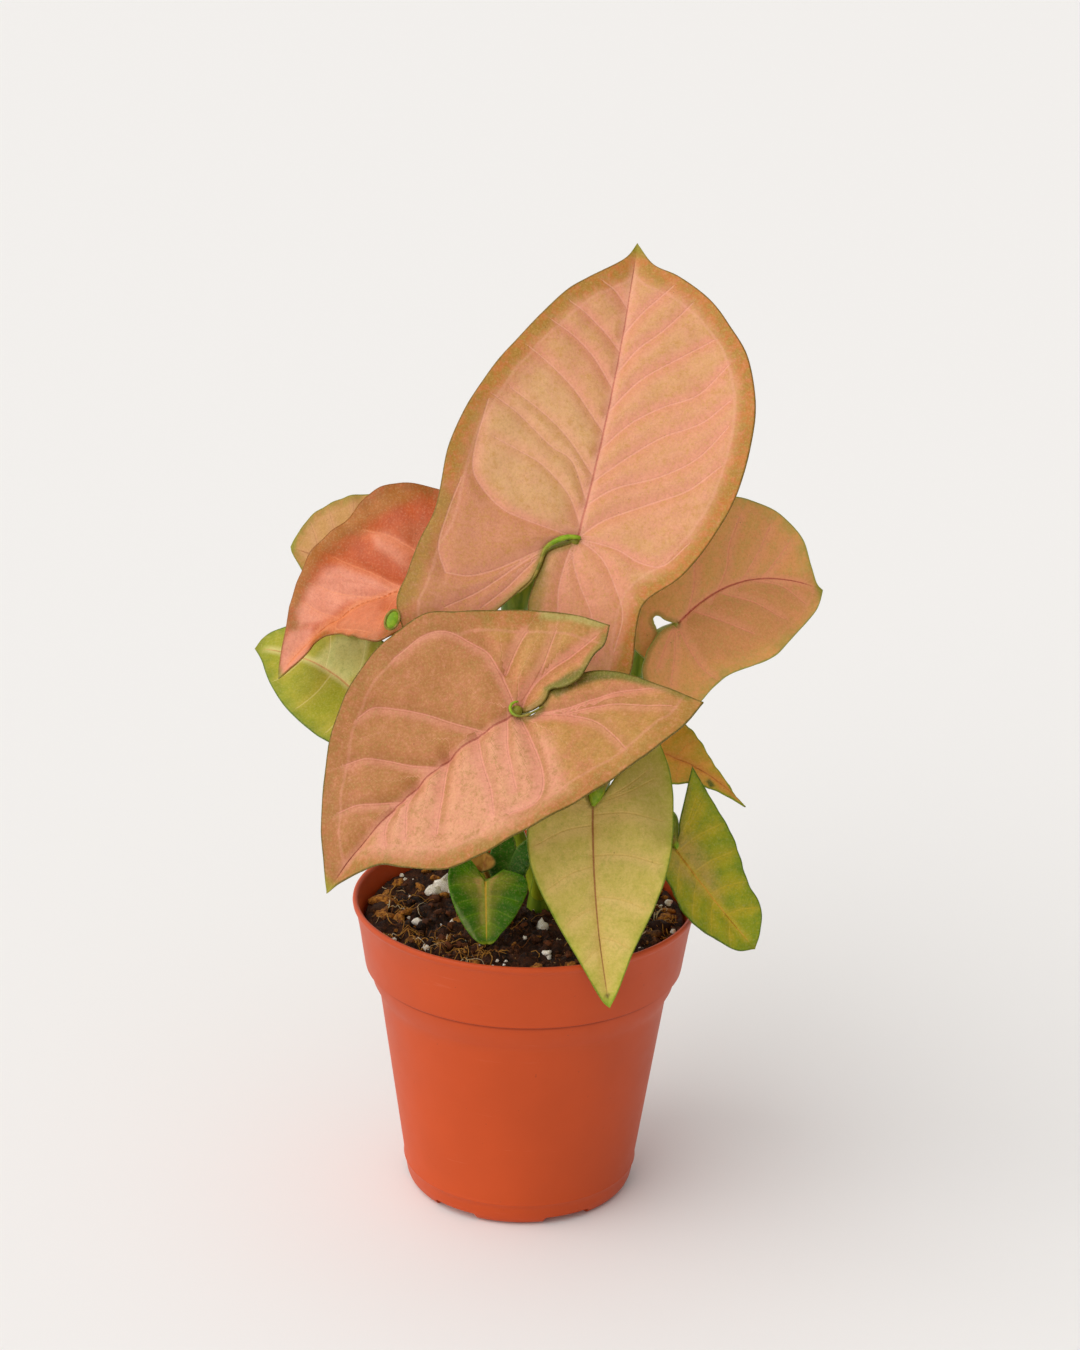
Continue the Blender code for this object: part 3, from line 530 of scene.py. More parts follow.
                 Wash("93a868", 0.7, 0.8, [(13, 3.5), (11, 8), (7, 14), (2, 19.5), (5, 13), (9, 7),
                                            (11, 3)])]),
    Leaf("leaf_second_green", "leaf_dark_green", SECOND_GREEN, (-3, -6, 112.5), -15, 40, 169, 13,
         fold=0.15, cup=0.2, arch=-0.3, droop=-0.6, wave=0.2, rib_share=5 / 8, laterals=3, quilt=0.3,
         left=[(-3.5, 11), (-6, 6.5), (-5.5, 0.5), (-3, -4.5)],
         left_sinus=[(-1.2, -2.2), (-3, -4.5)],
         right=[(3.5, 11), (6.5, 6.5), (6.5, 0.5), (4, -4.5)],
         right_sinus=[(1.2, -2.2), (4, -4.5)]),
]

SHOOTS = [
    Shoot("stalks_main", [(4, 4, STEM_FOOT), (4, 4, 92), (5, 4, 102)], 3.6, [
        Stalk("leaf_crown", [(5, 8, 102), (1, 13, 135), (-4, 13.5, 162), (-5.2, 12, 180),
                             (-3.5, 10.5, 189), (1.5, 9.5, 197.5), (8, 6.5, 204)], 2.2, 1.4, 3.9),
        Stalk("leaf_front", [(5, 0, 102), (5, -6, 125), (1, -17, 150), (-1, -29, 164)], 2.2, 1.4),
        Stalk("leaf_hanging", [(9, 2, 102), (19, -4, 125), (26, -14, 145), (25.5, -22, 149),
                               (22, -28.5, 144)], 2.0, 1.2),
        Stalk("leaf_coral", [(1, 7, 102), (-9, 10, 128), (-20, 13, 155), (-29.5, 12.8, 176)], 2.0, 1.2)]),
    Shoot("stalks_left", [(-12, 12, STEM_FOOT), (-12, 12, 92), (-13, 12, 98)], 2.8, [
        Stalk("leaf_tan", [(-14, 16, 100), (-23, 28, 130), (-32, 36, 160), (-37, 37, 178)], 1.8, 1.1),
        Stalk("leaf_lime", [(-16, 12, 99), (-28, 14, 120), (-42, 14, 141)], 1.8, 1.1)]),
    Shoot("stalks_right", [(17, 10, STEM_FOOT), (17, 10, 92), (18, 10, 98)], 2.8, [
        Stalk("leaf_right_back", [(19, 14, 99), (25, 20, 130), (31.5, 22.5, 158), (38, 20, 172)],
              1.9, 1.1, 2.4),
        Stalk("leaf_small_pink", [(21, 9, 99), (29, 10, 120), (34, 9, 134)], 1.6, 1.0),
        Stalk("leaf_right_lime", [(23, 7, 98), (33, 3, 111), (42, -3, 123), (44.5, -8, 123)], 1.6, 1.0)]),
    Shoot("stalks_small", [(-7, -7, STEM_FOOT), (-7, -7, 91.5), (-7, -7, 94)], 2.0, [
        Stalk("leaf_small_green", [(-8.5, -9.5, 96), (-11, -12.5, 103)], 1.3, 0.8),
        Stalk("leaf_second_green", [(-5, -4.5, 98), (-2.3, -1.5, 106)], 1.3, 0.8)]),
]


class Wires:
    """Adds shader nodes to one material and joins them up."""

    def __init__(self, name, roughness, gloss=0.25):
        self.material = bpy.data.materials.new(name)
        self.material.use_nodes = True
        self.nodes = self.material.node_tree.nodes
        self.links = self.material.node_tree.links
        self.shader = self.nodes["Principled BSDF"]
        self.shader.inputs["Roughness"].default_value = roughness
        self.shader.inputs["Specular IOR Level"].default_value = gloss

    def put(self, socket, value):
        """Feed a socket with another node's output or with a plain value."""
        if isinstance(value, bpy.types.NodeSocket):
            self.links.new(value, socket)
        elif isinstance(value, tuple) and len(value) == 3 and socket.type == "RGBA":
            socket.default_value = (*value, 1.0)
        else:
            socket.default_value = value

    def math(self, operation, a, b=0.0, c=0.0):
        """One sum on numbers."""
        node = self.nodes.new("ShaderNodeMath")
        node.operation = operation
        for socket, value in zip(node.inputs, (a, b, c)):
            self.put(socket, value)
        return node.outputs[0]

    def times(self, a, b):
        """Two numbers multiplied."""
        return self.math("MULTIPLY", a, b)

    def fade(self, value, start, end):
        """A smooth step: 0 where the value is at start, 1 where it is at end."""
        node = self.nodes.new("ShaderNodeMapRange")
        node.interpolation_type = "SMOOTHSTEP"
        if start > end:
            self.put(node.inputs["From Min"], end)
            self.put(node.inputs["From Max"], start)
            self.put(node.inputs["To Min"], 1.0)
            self.put(node.inputs["To Max"], 0.0)
        else:
            self.put(node.inputs["From Min"], start)
            self.put(node.inputs["From Max"], end)
        self.put(node.inputs["Value"], value)
        return node.outputs["Result"]

    def blend(self, share, first, second):
        """Mix two colours."""
        node = self.nodes.new("ShaderNodeMix")
        node.data_type = "RGBA"
        self.put(node.inputs[0], share)
        self.put(node.inputs[6], first)
        self.put(node.inputs[7], second)
        return node.outputs[2]

    def attribute(self, name):
        """A number stored on the mesh."""
        node = self.nodes.new("ShaderNodeAttribute")
        node.attribute_name = name
        return node.outputs["Fac"]

    def place(self, stretch=(1.0, 1.0, 1.0)):
        """The object's own coordinates, stretched."""
        coords = self.nodes.new("ShaderNodeTexCoord")
        mapping = self.nodes.new("ShaderNodeMapping")
        mapping.inputs["Scale"].default_value = stretch
        self.links.new(coords.outputs["Object"], mapping.inputs["Vector"])
        return mapping.outputs["Vector"]

    def noise(self, size, detail=3.0, place=None, rough=0.55):
        """Cloudy noise with features of about this size in millimetres."""
        node = self.nodes.new("ShaderNodeTexNoise")
        node.inputs["Scale"].default_value = 1 / (size * MM)
        node.inputs["Detail"].default_value = detail
        node.inputs["Roughness"].default_value = rough
        self.put(node.inputs["Vector"], place or self.place())
        return node.outputs["Fac"]

    def cells(self, size, feature="DISTANCE_TO_EDGE", place=None):
        """Distances in a net of cells of about this size in millimetres."""
        node = self.nodes.new("ShaderNodeTexVoronoi")
        node.feature = feature
        node.inputs["Scale"].default_value = 1 / (size * MM)
        self.put(node.inputs["Vector"], place or self.place())
        return node.outputs["Distance"]

    def bump(self, height, depth, strength=1.0):
        """Relief of a depth in millimetres."""
        node = self.nodes.new("ShaderNodeBump")
        node.inputs["Strength"].default_value = strength
        node.inputs["Distance"].default_value = depth * MM
        self.put(node.inputs["Height"], height)
        self.links.new(node.outputs["Normal"], self.shader.inputs["Normal"])

    def finish(self, colour=None, roughness=None):
        """Feed the surface's colour and roughness, and hand over the material."""
        if colour is not None:
            self.put(self.shader.inputs["Base Color"], colour)
        if roughness is not None:
            self.put(self.shader.inputs["Roughness"], roughness)
        return self.material


def add_piece(name, bm, materials, replaces=(), smooth=True):
    """Turn a bmesh into a piece of the plant that rides on the pot's body."""
    mesh = bpy.data.meshes.new(name)
    bm.to_mesh(mesh)
    bm.free()
    if smooth:
        mesh.shade_smooth()
    for one in materials:
        mesh.materials.append(one)
    made = bpy.data.objects.new(name, mesh)
    bpy.context.scene.collection.objects.link(made)
    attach(made, "root")
    if replaces:
        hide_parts(*replaces)
    return made


def smooth_line(points, count):
    """Points evenly spaced along a smooth curve through the given ones."""
    knots = [Vector(p) for p in points]
    knots = [2 * knots[0] - knots[1]] + knots + [2 * knots[-1] - knots[-2]]
    fine = [knots[1]]
    steps = 12
    for a, b, c, d in zip(knots, knots[1:], knots[2:], knots[3:]):
        for i in range(1, steps + 1):
            t = i / steps
            fine.append(0.5 * (2 * b + (c - a) * t + (2 * a - 5 * b + 4 * c - d) * t * t
                               + (3 * b - 3 * c + d - a) * t ** 3))
    reach = [0.0]
    for a, b in zip(fine, fine[1:]):
        reach.append(reach[-1] + (b - a).length)
    result = []
    at = 0
    for i in range(count + 1):
        wanted = reach[-1] * i / count
        while at < len(reach) - 2 and reach[at + 1] < wanted:
            at += 1
        share = (wanted - reach[at]) / max(reach[at + 1] - reach[at], 1e-9)
        result.append(fine[at].lerp(fine[at + 1], min(share, 1.0)))
    return result


def line_length(points):
    """The length of a chain of points."""
    return sum((b - a).length for a, b in zip(points, points[1:]))


def rib_offset(leaf, along):
    """How far the midrib bows sideways at a distance along the leaf."""
    share = min(max(along / leaf.length, 0.0), 1.0)
    return 4 * leaf.bow * share * (1 - share)


def blade_height(leaf, across, along, side):
    """Height of the bent blade over its own plane, in millimetres."""
    away = across - rib_offset(leaf, along)
    valley = math.hypot(away, VALLEY_SOFT) - VALLEY_SOFT
    curl = leaf.arch if along > 0 else leaf.droop
    height = leaf.fold * valley + (leaf.cup * away * away + curl * along * along) / 100
    if along < 0:
        height += side * leaf.split * along * along / (abs(along) + 6) / 10
    return height


def leaf_place(leaf):
    """The matrix that stands a leaf's own plane in the plant, in millimetres."""
    upright = Matrix.Rotation(math.radians(90 - leaf.lean), 4, "X")
    turned = Matrix.Rotation(math.radians(leaf.turn), 4, "Z")
    spun = Matrix.Rotation(math.radians(leaf.spin), 4, "Z")
    return Matrix.Translation(leaf.hub) @ turned @ upright @ spun


def nearest(spots, line):
    """Signed distance of each spot from a line, and how far along the line its nearest point is."""
    best = np.full(len(spots), 1e9)
    signed = np.zeros(len(spots))
    share = np.zeros(len(spots))
    count = len(line) - 1
    for i, (a, b) in enumerate(zip(line, line[1:])):
        start = np.array(a)
        step = np.array(b) - start
        away = spots - start
        t = np.clip(away @ step / max(step @ step, 1e-9), 0, 1)
        gap = away - t[:, None] * step
        reach = np.hypot(gap[:, 0], gap[:, 1])
        turn = np.sign(step[0] * away[:, 1] - step[1] * away[:, 0])
        closer = reach < best
        best[closer] = reach[closer]
        signed[closer] = (reach * turn)[closer]
        share[closer] = (i + t[closer]) / count
    return signed, share


def inside_share(spots, wash):
    """How far each spot lies inside a wash's ring: 0 outside, 1 deeper in than its soft edge."""
    ring = wash.ring + wash.ring[:1]
    away = np.abs(nearest(spots, ring)[0])
    inside = np.zeros(len(spots), dtype=bool)
    for (ax, ay), (bx, by) in zip(ring, ring[1:]):
        spans = (ay > spots[:, 1]) != (by > spots[:, 1])
        slope = (bx - ax) / (by - ay) if by != ay else 0.0
        inside ^= spans & (spots[:, 0] < ax + (spots[:, 1] - ay) * slope)
    share = np.clip(np.where(inside, away, -away) / wash.soft + 0.5, 0, 1)
    return share * share * (3 - 2 * share)


def plain_veins(leaf):
    """Side veins for a leaf that gives none: they leave the midrib and curve towards the tip."""
    lines = []
    for side, edge in ((-1, leaf.left), (1, leaf.right)):
        margin = smooth_line([(0, leaf.length)] + edge, 60)
        for i in range(leaf.laterals):
            share = (i + 0.25 + 0.25 * (side > 0)) / leaf.laterals
            along = leaf.length * share * 0.8
            start = Vector((rib_offset(leaf, along), along))
            goal = margin[round(60 * (0.72 - 0.62 * share))]
            end = start.lerp(goal, 0.86)
            middle = start.lerp(end, 0.5) - Vector((0, (end - start).length * 0.08 * leaf.rise))
            lines.append([tuple(start), tuple(middle), tuple(end)])
        lobe = margin[60].lerp(margin[48], 0.5)
        for pull, reach in ((0.35, 0.8), (0.0, 0.75)):
            end = Vector((0, 0)).lerp(lobe.lerp(margin[46], pull), reach)
            lines.append([(0, 0), tuple(end * 0.5 + Vector((side * 0.8, 0.4))), tuple(end)])
    return lines


def blade_spots(leaf, side, rows):
    """Places across one half of the flat blade, with their share out to the margin and down it."""
    edge, sinus = (leaf.left, leaf.left_sinus) if side < 0 else (leaf.right, leaf.right_sinus)
    rib_rows = round(rows * leaf.rib_share)
    outer = smooth_line([(0, leaf.length)] + edge, rows)
    inner = []
    for i in range(rib_rows):
        along = leaf.length * (1 - i / rib_rows)
        inner.append(Vector((rib_offset(leaf, along), along)))
    inner += smooth_line([(0, 0)] + sinus, rows - rib_rows)
    return inner, outer


def half_blade(bm, layers, leaf, side, lines, settings):
    """Shape one fine grid into the half of the blade on one side of the midrib."""
    edge = leaf.left if side < 0 else leaf.right
    step = settings.grid_step / MM * 1
    rows = max(24, round(line_length(smooth_line([(0, leaf.length)] + edge, 60)) / step))
    rows = round(rows / ROW_STEP + 0.5) * ROW_STEP
    width = max(abs(x) for x, _ in edge)
    columns = max(8, round(width / step))
    inner, outer = blade_spots(leaf, side, rows)
    grid = bmesh.ops.create_grid(bm, x_segments=columns, y_segments=rows, size=0.5)
    verts = grid["verts"]
    share = np.array([v.co.x + 0.5 for v in verts])
    down = np.array([v.co.y + 0.5 for v in verts])
    row = np.rint(down * rows).astype(int)
    inner = np.array([tuple(p) for p in inner])
    outer = np.array([tuple(p) for p in outer])
    spots = inner[row] + (outer[row] - inner[row]) * share[:, None]
    rim = np.abs(nearest(spots, outer)[0])
    sinus = np.abs(nearest(spots, inner[round(rows * leaf.rib_share):])[0])
    brim = np.minimum(rim, sinus)
    vein, near, power, broad = vein_field(spots, lines)
    along = spots[:, 1]
    rib = spots[:, 0] - np.array([rib_offset(leaf, y) for y in along])
    relief = blade_relief(leaf, spots, rib, rim, broad) * settings.relief
    ripple = leaf.wave * share ** 3 * np.sin(down * 17 + side) * np.sin(math.pi * down)
    ripple += 0.35 * share ** 5 * np.sin(down * 61 + 2 * side) * np.sin(math.pi * down)
    # vein is signed so that its tip side is positive on both halves; the painted shade and painted highlight
    # beside the veins use this sign
    marks = {"rib": rib, "rim": rim, "brim": brim, "vein": vein * side, "near": near, "power": power,
             "along": along / leaf.length}
    for i, wash in enumerate(leaf.washes):
        marks[f"wash_{i}"] = inside_share(spots, wash)
    place = leaf_place(leaf)
    for i, vert in enumerate(verts):
        x, y = spots[i]
        vert.co = place @ Vector((x, y, blade_height(leaf, x, y, side) + ripple[i] + relief[i])) * MM
    for name, values in marks.items():
        layer = layers[name]
        for vert, value in zip(verts, values):
            vert[layer] = value
    if side > 0:
        faces = list({face for vert in verts for face in vert.link_faces})
        bmesh.ops.reverse_faces(bm, faces=faces)


def vein_field(spots, lines):
    """Each spot's signed and plain distance to its nearest side vein, that vein's strength, and its fold."""
    vein = np.full(len(spots), 50.0)
    near = np.full(len(spots), 50.0)
    power = np.zeros(len(spots))
    broad = np.zeros(len(spots))
    for weight, line in lines:
        knots = [tuple(p) for p in smooth_line(line, 4 * len(line))]
        signed, share = nearest(spots, knots)
        reach = np.abs(signed)
        closer = reach < near
        vein[closer] = signed[closer]
        near[closer] = reach[closer]
        fading = weight * (1 - 0.55 * share)
        power[closer] = np.minimum(fading, 1)[closer]
        groove = 0.7 * np.exp(-(reach / FOLD_WIDE) ** 2) + 0.3 * np.exp(-(reach / FOLD_NARROW) ** 2)
        broad = np.maximum(broad, fading * groove)
    return vein, near, power, broad


def blade_relief(leaf, spots, rib, rim, broad):
    """The relief of the blade in millimetres: soft folds along the veins and a gently uneven surface."""
    inside = 1 - np.exp(-(rim / 5.0) ** 2)
    wide = np.array([noise.noise(Vector((x * 0.055, y * 0.055, 5.3))) for x, y in spots])
    small = np.array([noise.noise(Vector((x * 0.16, y * 0.16, 3.1))) for x, y in spots])
    fine = np.array([noise.noise(Vector((x * 0.45, y * 0.45, 7.7))) for x, y in spots])
    middle = (0.6 * np.exp(-(rib / 3.0) ** 2) + 0.4 * np.exp(-(rib / 1.0) ** 2)) * (spots[:, 1] > 0)
    relief = -leaf.quilt * (inside * broad + 0.7 * middle)
    return relief + leaf.quilt * (0.9 * wide + 0.35 * small) * inside + 0.05 * fine


def leaf_skin(leaf, settings):
    """The upper face of a blade: centre colour, soft patches, margin band, painted shade and painted
    highlight beside the side veins, veins and thin green edge.
    """
    look = leaf.look
    w = Wires(leaf.name + "_upper", look.shine, look.gloss)
    wobble = w.math("SUBTRACT", w.noise(13, 3), 0.5)
    soft = w.noise(4.5, 4, rough=0.6)
    speckle = w.noise(2.4, 5, rough=0.75)
    grain = w.noise(0.6, 3, rough=0.6)
    rim = w.attribute("rim")
    near = w.attribute("near")
    colour = w.blend(w.times(w.fade(near, 3.2, 0.2), 0.75), tone(look.centre), tone(look.flush))
    away = w.math("MULTIPLY_ADD", wobble, 6.0, near)
    between = w.times(w.fade(away, 0.6, 4.5), look.blotches)
    colour = w.blend(w.times(between, w.fade(soft, 0.22, 0.62)), colour, tone(look.blotch))
    band = w.math("MULTIPLY_ADD", wobble, 5.0, rim)
    outside = w.fade(band, look.band + look.band_soft * 0.5, look.band - look.band_soft)
    patch = w.math("MULTIPLY_ADD", speckle, 0.6, w.times(soft, 0.4))
    border = w.blend(w.fade(patch, 0.43, 0.57), tone(look.margin), tone(look.margin_spot))
    colour = w.blend(outside, colour, border)
    # Washes: mostly the leaf's own patches of colour; on a few leaves they are painted shade and painted
    # highlights
    for i, wash in enumerate(leaf.washes):
        uneven = w.math("MULTIPLY_ADD", soft, 0.8 * wash.strength, 0.6 * wash.strength)
        colour = w.blend(w.times(w.attribute(f"wash_{i}"), uneven), colour, tone(wash.colour))
    fine = w.math("MULTIPLY_ADD", w.noise(0.8, 3, rough=0.7), 0.45, w.times(speckle, 0.55))
    darker = w.times(w.fade(fine, 0.48, 0.62), look.mottle)
    colour = w.blend(darker, colour, tone(look.mottle_and_shade))
    paler = w.times(w.fade(fine, 0.50, 0.34), look.mottle * 0.55)
    colour = w.blend(paler, colour, tone(look.mottle_and_highlight))
    # Painted shade on the base side of each side vein and painted highlight on its tip side, standing in for
    # the light on the quilted folds; groove sets their strength
    vein = w.attribute("vein")
    shaded = w.times(w.fade(vein, -0.1, -0.7), w.fade(vein, -3.4, -0.9))
    shaded = w.times(w.times(shaded, w.attribute("power")), look.groove)
    colour = w.blend(shaded, colour, tone(look.mottle_and_shade))
    lit = w.times(w.fade(vein, 0.1, 0.7), w.fade(vein, 3.2, 0.9))
    lit = w.times(w.times(lit, w.attribute("power")), look.groove * 0.8)
    colour = w.blend(lit, colour, tone(look.mottle_and_highlight))
    colour, line = vein_colours(w, look, colour, rim, near)
    colour = edge_colours(w, look, colour, rim)
    dots = w.fade(w.noise(0.9, 1), 0.76, 0.80)
    colour = w.blend(w.times(dots, 0.4), colour, tone(LEAF_SPOT))
    colour = w.blend(w.times(w.fade(grain, 0.45, 0.75), 0.16), colour, tone(LEAF_GRAIN_PALE))
    colour = w.blend(w.times(w.fade(grain, 0.55, 0.25), 0.17), colour, tone(LEAF_GRAIN_DARK))
    net = w.fade(w.cells(1.3), 0.0, 0.2)
    sunk = w.times(line, -3.0 * look.vein_share)
    height = w.math("MULTIPLY_ADD", net, 0.25, w.math("MULTIPLY_ADD", grain, 0.5, sunk))
    w.bump(height, 0.12, settings.grain_depth)
    rough = w.math("MULTIPLY_ADD", grain, 0.16, look.shine - 0.06)
    return w.finish(colour, rough)


def vein_colours(w, look, colour, rim, near):
    """Side veins, the vein that follows the margin, and the midrib; also where a vein's line lies."""
    reach = w.math("ABSOLUTE", w.attribute("vein"))
    thin = w.math("MULTIPLY_ADD", w.attribute("power"), -0.16, reach)
    line = w.times(w.fade(thin, 0.30, 0.0), w.fade(near, 1.8, 1.2))
    colour = w.blend(w.times(line, look.vein_share), colour, tone(look.vein))
    wander = w.math("MULTIPLY_ADD", w.noise(14, 2), 3.0, rim)
    hoop = w.math("ABSOLUTE", w.math("SUBTRACT", wander, look.band + 1.5))
    colour = w.blend(w.times(w.fade(hoop, 0.7, 0.1), look.hoop_share), colour, tone(look.vein))
    rib = w.math("ABSOLUTE", w.attribute("rib"))
    along = w.attribute("along")
    ahead = w.times(w.fade(along, -0.01, 0.01), w.fade(along, 0.97, 0.86))
    beside = w.times(w.fade(rib, 2.2, 0.4), ahead)
    colour = w.blend(w.times(beside, 0.55), colour, tone(look.vein))
    core = w.math("MULTIPLY_ADD", along, 0.22, rib)
    on_rib = w.times(w.fade(core, 0.55, 0.18), ahead)
    colour = w.blend(w.times(on_rib, 0.8), colour, tone(look.rib))
    return colour, w.math("MAXIMUM", line, on_rib)


def edge_colours(w, look, colour, rim):
    """The olive band along the sinus, the thin green line round the whole edge, and the drip tip."""
    brim = w.attribute("brim")
    sinus = w.times(w.fade(brim, look.sinus_band, look.sinus_band * 0.3), w.fade(rim, 2.0, 4.5))
    colour = w.blend(w.times(sinus, 0.6), colour, tone(look.sinus_edge))
    uneven = w.math("MULTIPLY_ADD", w.noise(3, 2), 0.5, brim)
    colour = w.blend(w.times(w.fade(uneven, 0.8, 0.35), 0.9), colour, tone(look.edge))
    tip = w.fade(w.attribute("along"), 0.93, 0.985)
    return w.blend(w.times(tip, 0.8), colour, tone(look.tip))


def under_skin(leaf):
    """The paler underside of a blade, with raised veins."""
    look = leaf.look
    w = Wires(leaf.name + "_under", 0.55)
    near = w.attribute("near")
    cloud = w.noise(7, 4)
    colour = w.blend(w.fade(cloud, 0.35, 0.65), tone(look.under), tone(look.centre))
    colour = w.blend(0.55, colour, tone(look.under))
    mask = w.times(w.fade(near, 0.7, 0.2), 0.6)
    colour = w.blend(mask, colour, tone(look.tip))
    rib = w.math("ABSOLUTE", w.attribute("rib"))
    on_rib = w.times(w.fade(rib, 0.9, 0.4), w.fade(w.attribute("along"), -0.01, 0.01))
    colour = w.blend(w.times(on_rib, 0.8), colour, tone(UNDER_RIB))
    edge = w.fade(w.attribute("brim"), 1.2, 0.3)
    colour = w.blend(w.times(edge, 0.7), colour, tone(look.edge))
    raised = w.math("MAXIMUM", w.fade(near, 1.1, 0.2), on_rib)
    w.bump(w.math("MULTIPLY_ADD", raised, 2.0, w.cells(1.4)), 0.12, 0.6)
    return w.finish(colour)


def make_blade(leaf, settings):
    """A fine leaf blade with its two faces, in place of the plain one."""
    bm = bmesh.new()
    names = ["rib", "rim", "brim", "vein", "near", "power", "along"]
    names += [f"wash_{i}" for i in range(len(leaf.washes))]
    layers = {name: bm.verts.layers.float.new(name) for name in names}
    lines = [(1.6, line) for line in leaf.creases]
    lines += [(1.0, line) for line in leaf.veins]
    if leaf.laterals:
        lines += [(0.8, line) for line in plain_veins(leaf)]
    half_blade(bm, layers, leaf, -1, lines, settings)
    half_blade(bm, layers, leaf, 1, lines, settings)
    bmesh.ops.remove_doubles(bm, verts=bm.verts, dist=0.02 * MM)
    skins = [leaf_skin(leaf, settings), under_skin(leaf)]
    made = add_piece(leaf.name + "_blade", bm, skins, [leaf.name])
    wall = made.modifiers.new("blade", "SOLIDIFY")
    wall.thickness = settings.blade_thickness
    wall.offset = 0.0
    wall.material_offset = 1
    wall.material_offset_rim = 0
    return made


def tube(bm, path, radii, sides, along=None):
    """A closed tube of round rings along a path in millimetres."""
    first = len(bm.edges)
    rings = []
    for i, centre in enumerate(path):
        ahead = path[min(i + 1, len(path) - 1)]
        behind = path[max(i - 1, 0)]
        turn = (ahead - behind).to_track_quat("Z", "Y").to_matrix().to_4x4()
        place = Matrix.Scale(MM, 4) @ Matrix.Translation(centre) @ turn
        circle = bmesh.ops.create_circle(bm, segments=sides, radius=radii[i], matrix=place)
        if along:
            for vert in circle["verts"]:
                vert[along] = i / (len(path) - 1)
        bm.edges.ensure_lookup_table()
        rings.append(bm.edges[first + i * sides:first + (i + 1) * sides])
    for low, high in zip(rings, rings[1:]):
        bmesh.ops.bridge_loops(bm, edges=low + high)
    bmesh.ops.holes_fill(bm, edges=rings[0] + rings[-1], sides=sides)


def stalk_skin():
    """Fresh green stalk with paler streaks and a yellowish foot."""
    w = Wires("stalk_skin", 0.4)
    along = w.attribute("along")
    streaks = w.noise(2.2, 4, w.place((1, 1, 0.08)))
    colour = w.blend(w.fade(streaks, 0.35, 0.65), tone(STALK_DARK), tone(STALK_PALE))
    colour = w.blend(w.fade(along, 0.3, 0.0), colour, tone(STALK_FOOT))
    colour = w.blend(w.times(w.fade(along, 0.8, 1.0), 0.6), colour, tone(STALK_TOP))
    dots = w.fade(w.noise(0.8, 1), 0.7, 0.78)
    colour = w.blend(w.times(dots, 0.4), colour, tone(STALK_SPOT))
    w.bump(streaks, 0.15, 0.5)
    return w.finish(colour)


def knuckle_skin():
    """The stalk tops: bright green where the stalk joins, olive along the sinus."""
    w = Wires("knuckle_skin", 0.42)
    streaks = w.noise(1.6, 4)
    fresh = w.blend(w.fade(streaks, 0.35, 0.65), tone(KNUCKLE_DARK), tone(KNUCKLE_PALE))
    worn = w.blend(w.fade(streaks, 0.35, 0.65), tone(SINUS_DARK), tone(SINUS_PALE))
    w.bump(streaks, 0.12, 0.5)
    return w.finish(w.blend(w.fade(w.attribute("along"), 0.25, 0.55), fresh, worn))


def stalk_end(leaf):
    """The centre of a stalk's last ring, just under the blade at its hub."""
    return leaf_place(leaf) @ Vector((0, 0, -BLADE_GAP))


def make_shoot(shoot, leaves, skin):
    """A short sheathed stem with its leaf stalks."""
    bm = bmesh.new()
    along = bm.verts.layers.float.new("along")
    stem = smooth_line(shoot.stem, STEM_RINGS)
    radii = [shoot.radius * (0.9 + 0.1 * math.sin(i * 0.5) - 0.25 * (i / STEM_RINGS) ** 3)
             for i in range(STEM_RINGS + 1)]
    tube(bm, stem, radii, STEM_SIDES, along)
    for stalk in shoot.stalks:
        start = Vector(shoot.stem[1])
        path = smooth_line([start] + stalk.way + [stalk_end(leaves[stalk.leaf])], STALK_RINGS)
        radii = []
        for i in range(STALK_RINGS + 1):
            share = i / STALK_RINGS
            sheath = 0.2 * stalk.foot * max(0.0, 1 - share / 0.35) ** 0.5
            sheath += stalk.sheath * math.exp(-((share - SHEATH_PLACE) / SHEATH_WIDTH) ** 2)
            radii.append(stalk.foot + (stalk.top - stalk.foot) * share ** 0.7 + sheath)
        tube(bm, path, radii, STALK_SIDES, along)
    bmesh.ops.recalc_face_normals(bm, faces=bm.faces)
    return add_piece(shoot.name + "_fine", bm, [skin], [shoot.name])


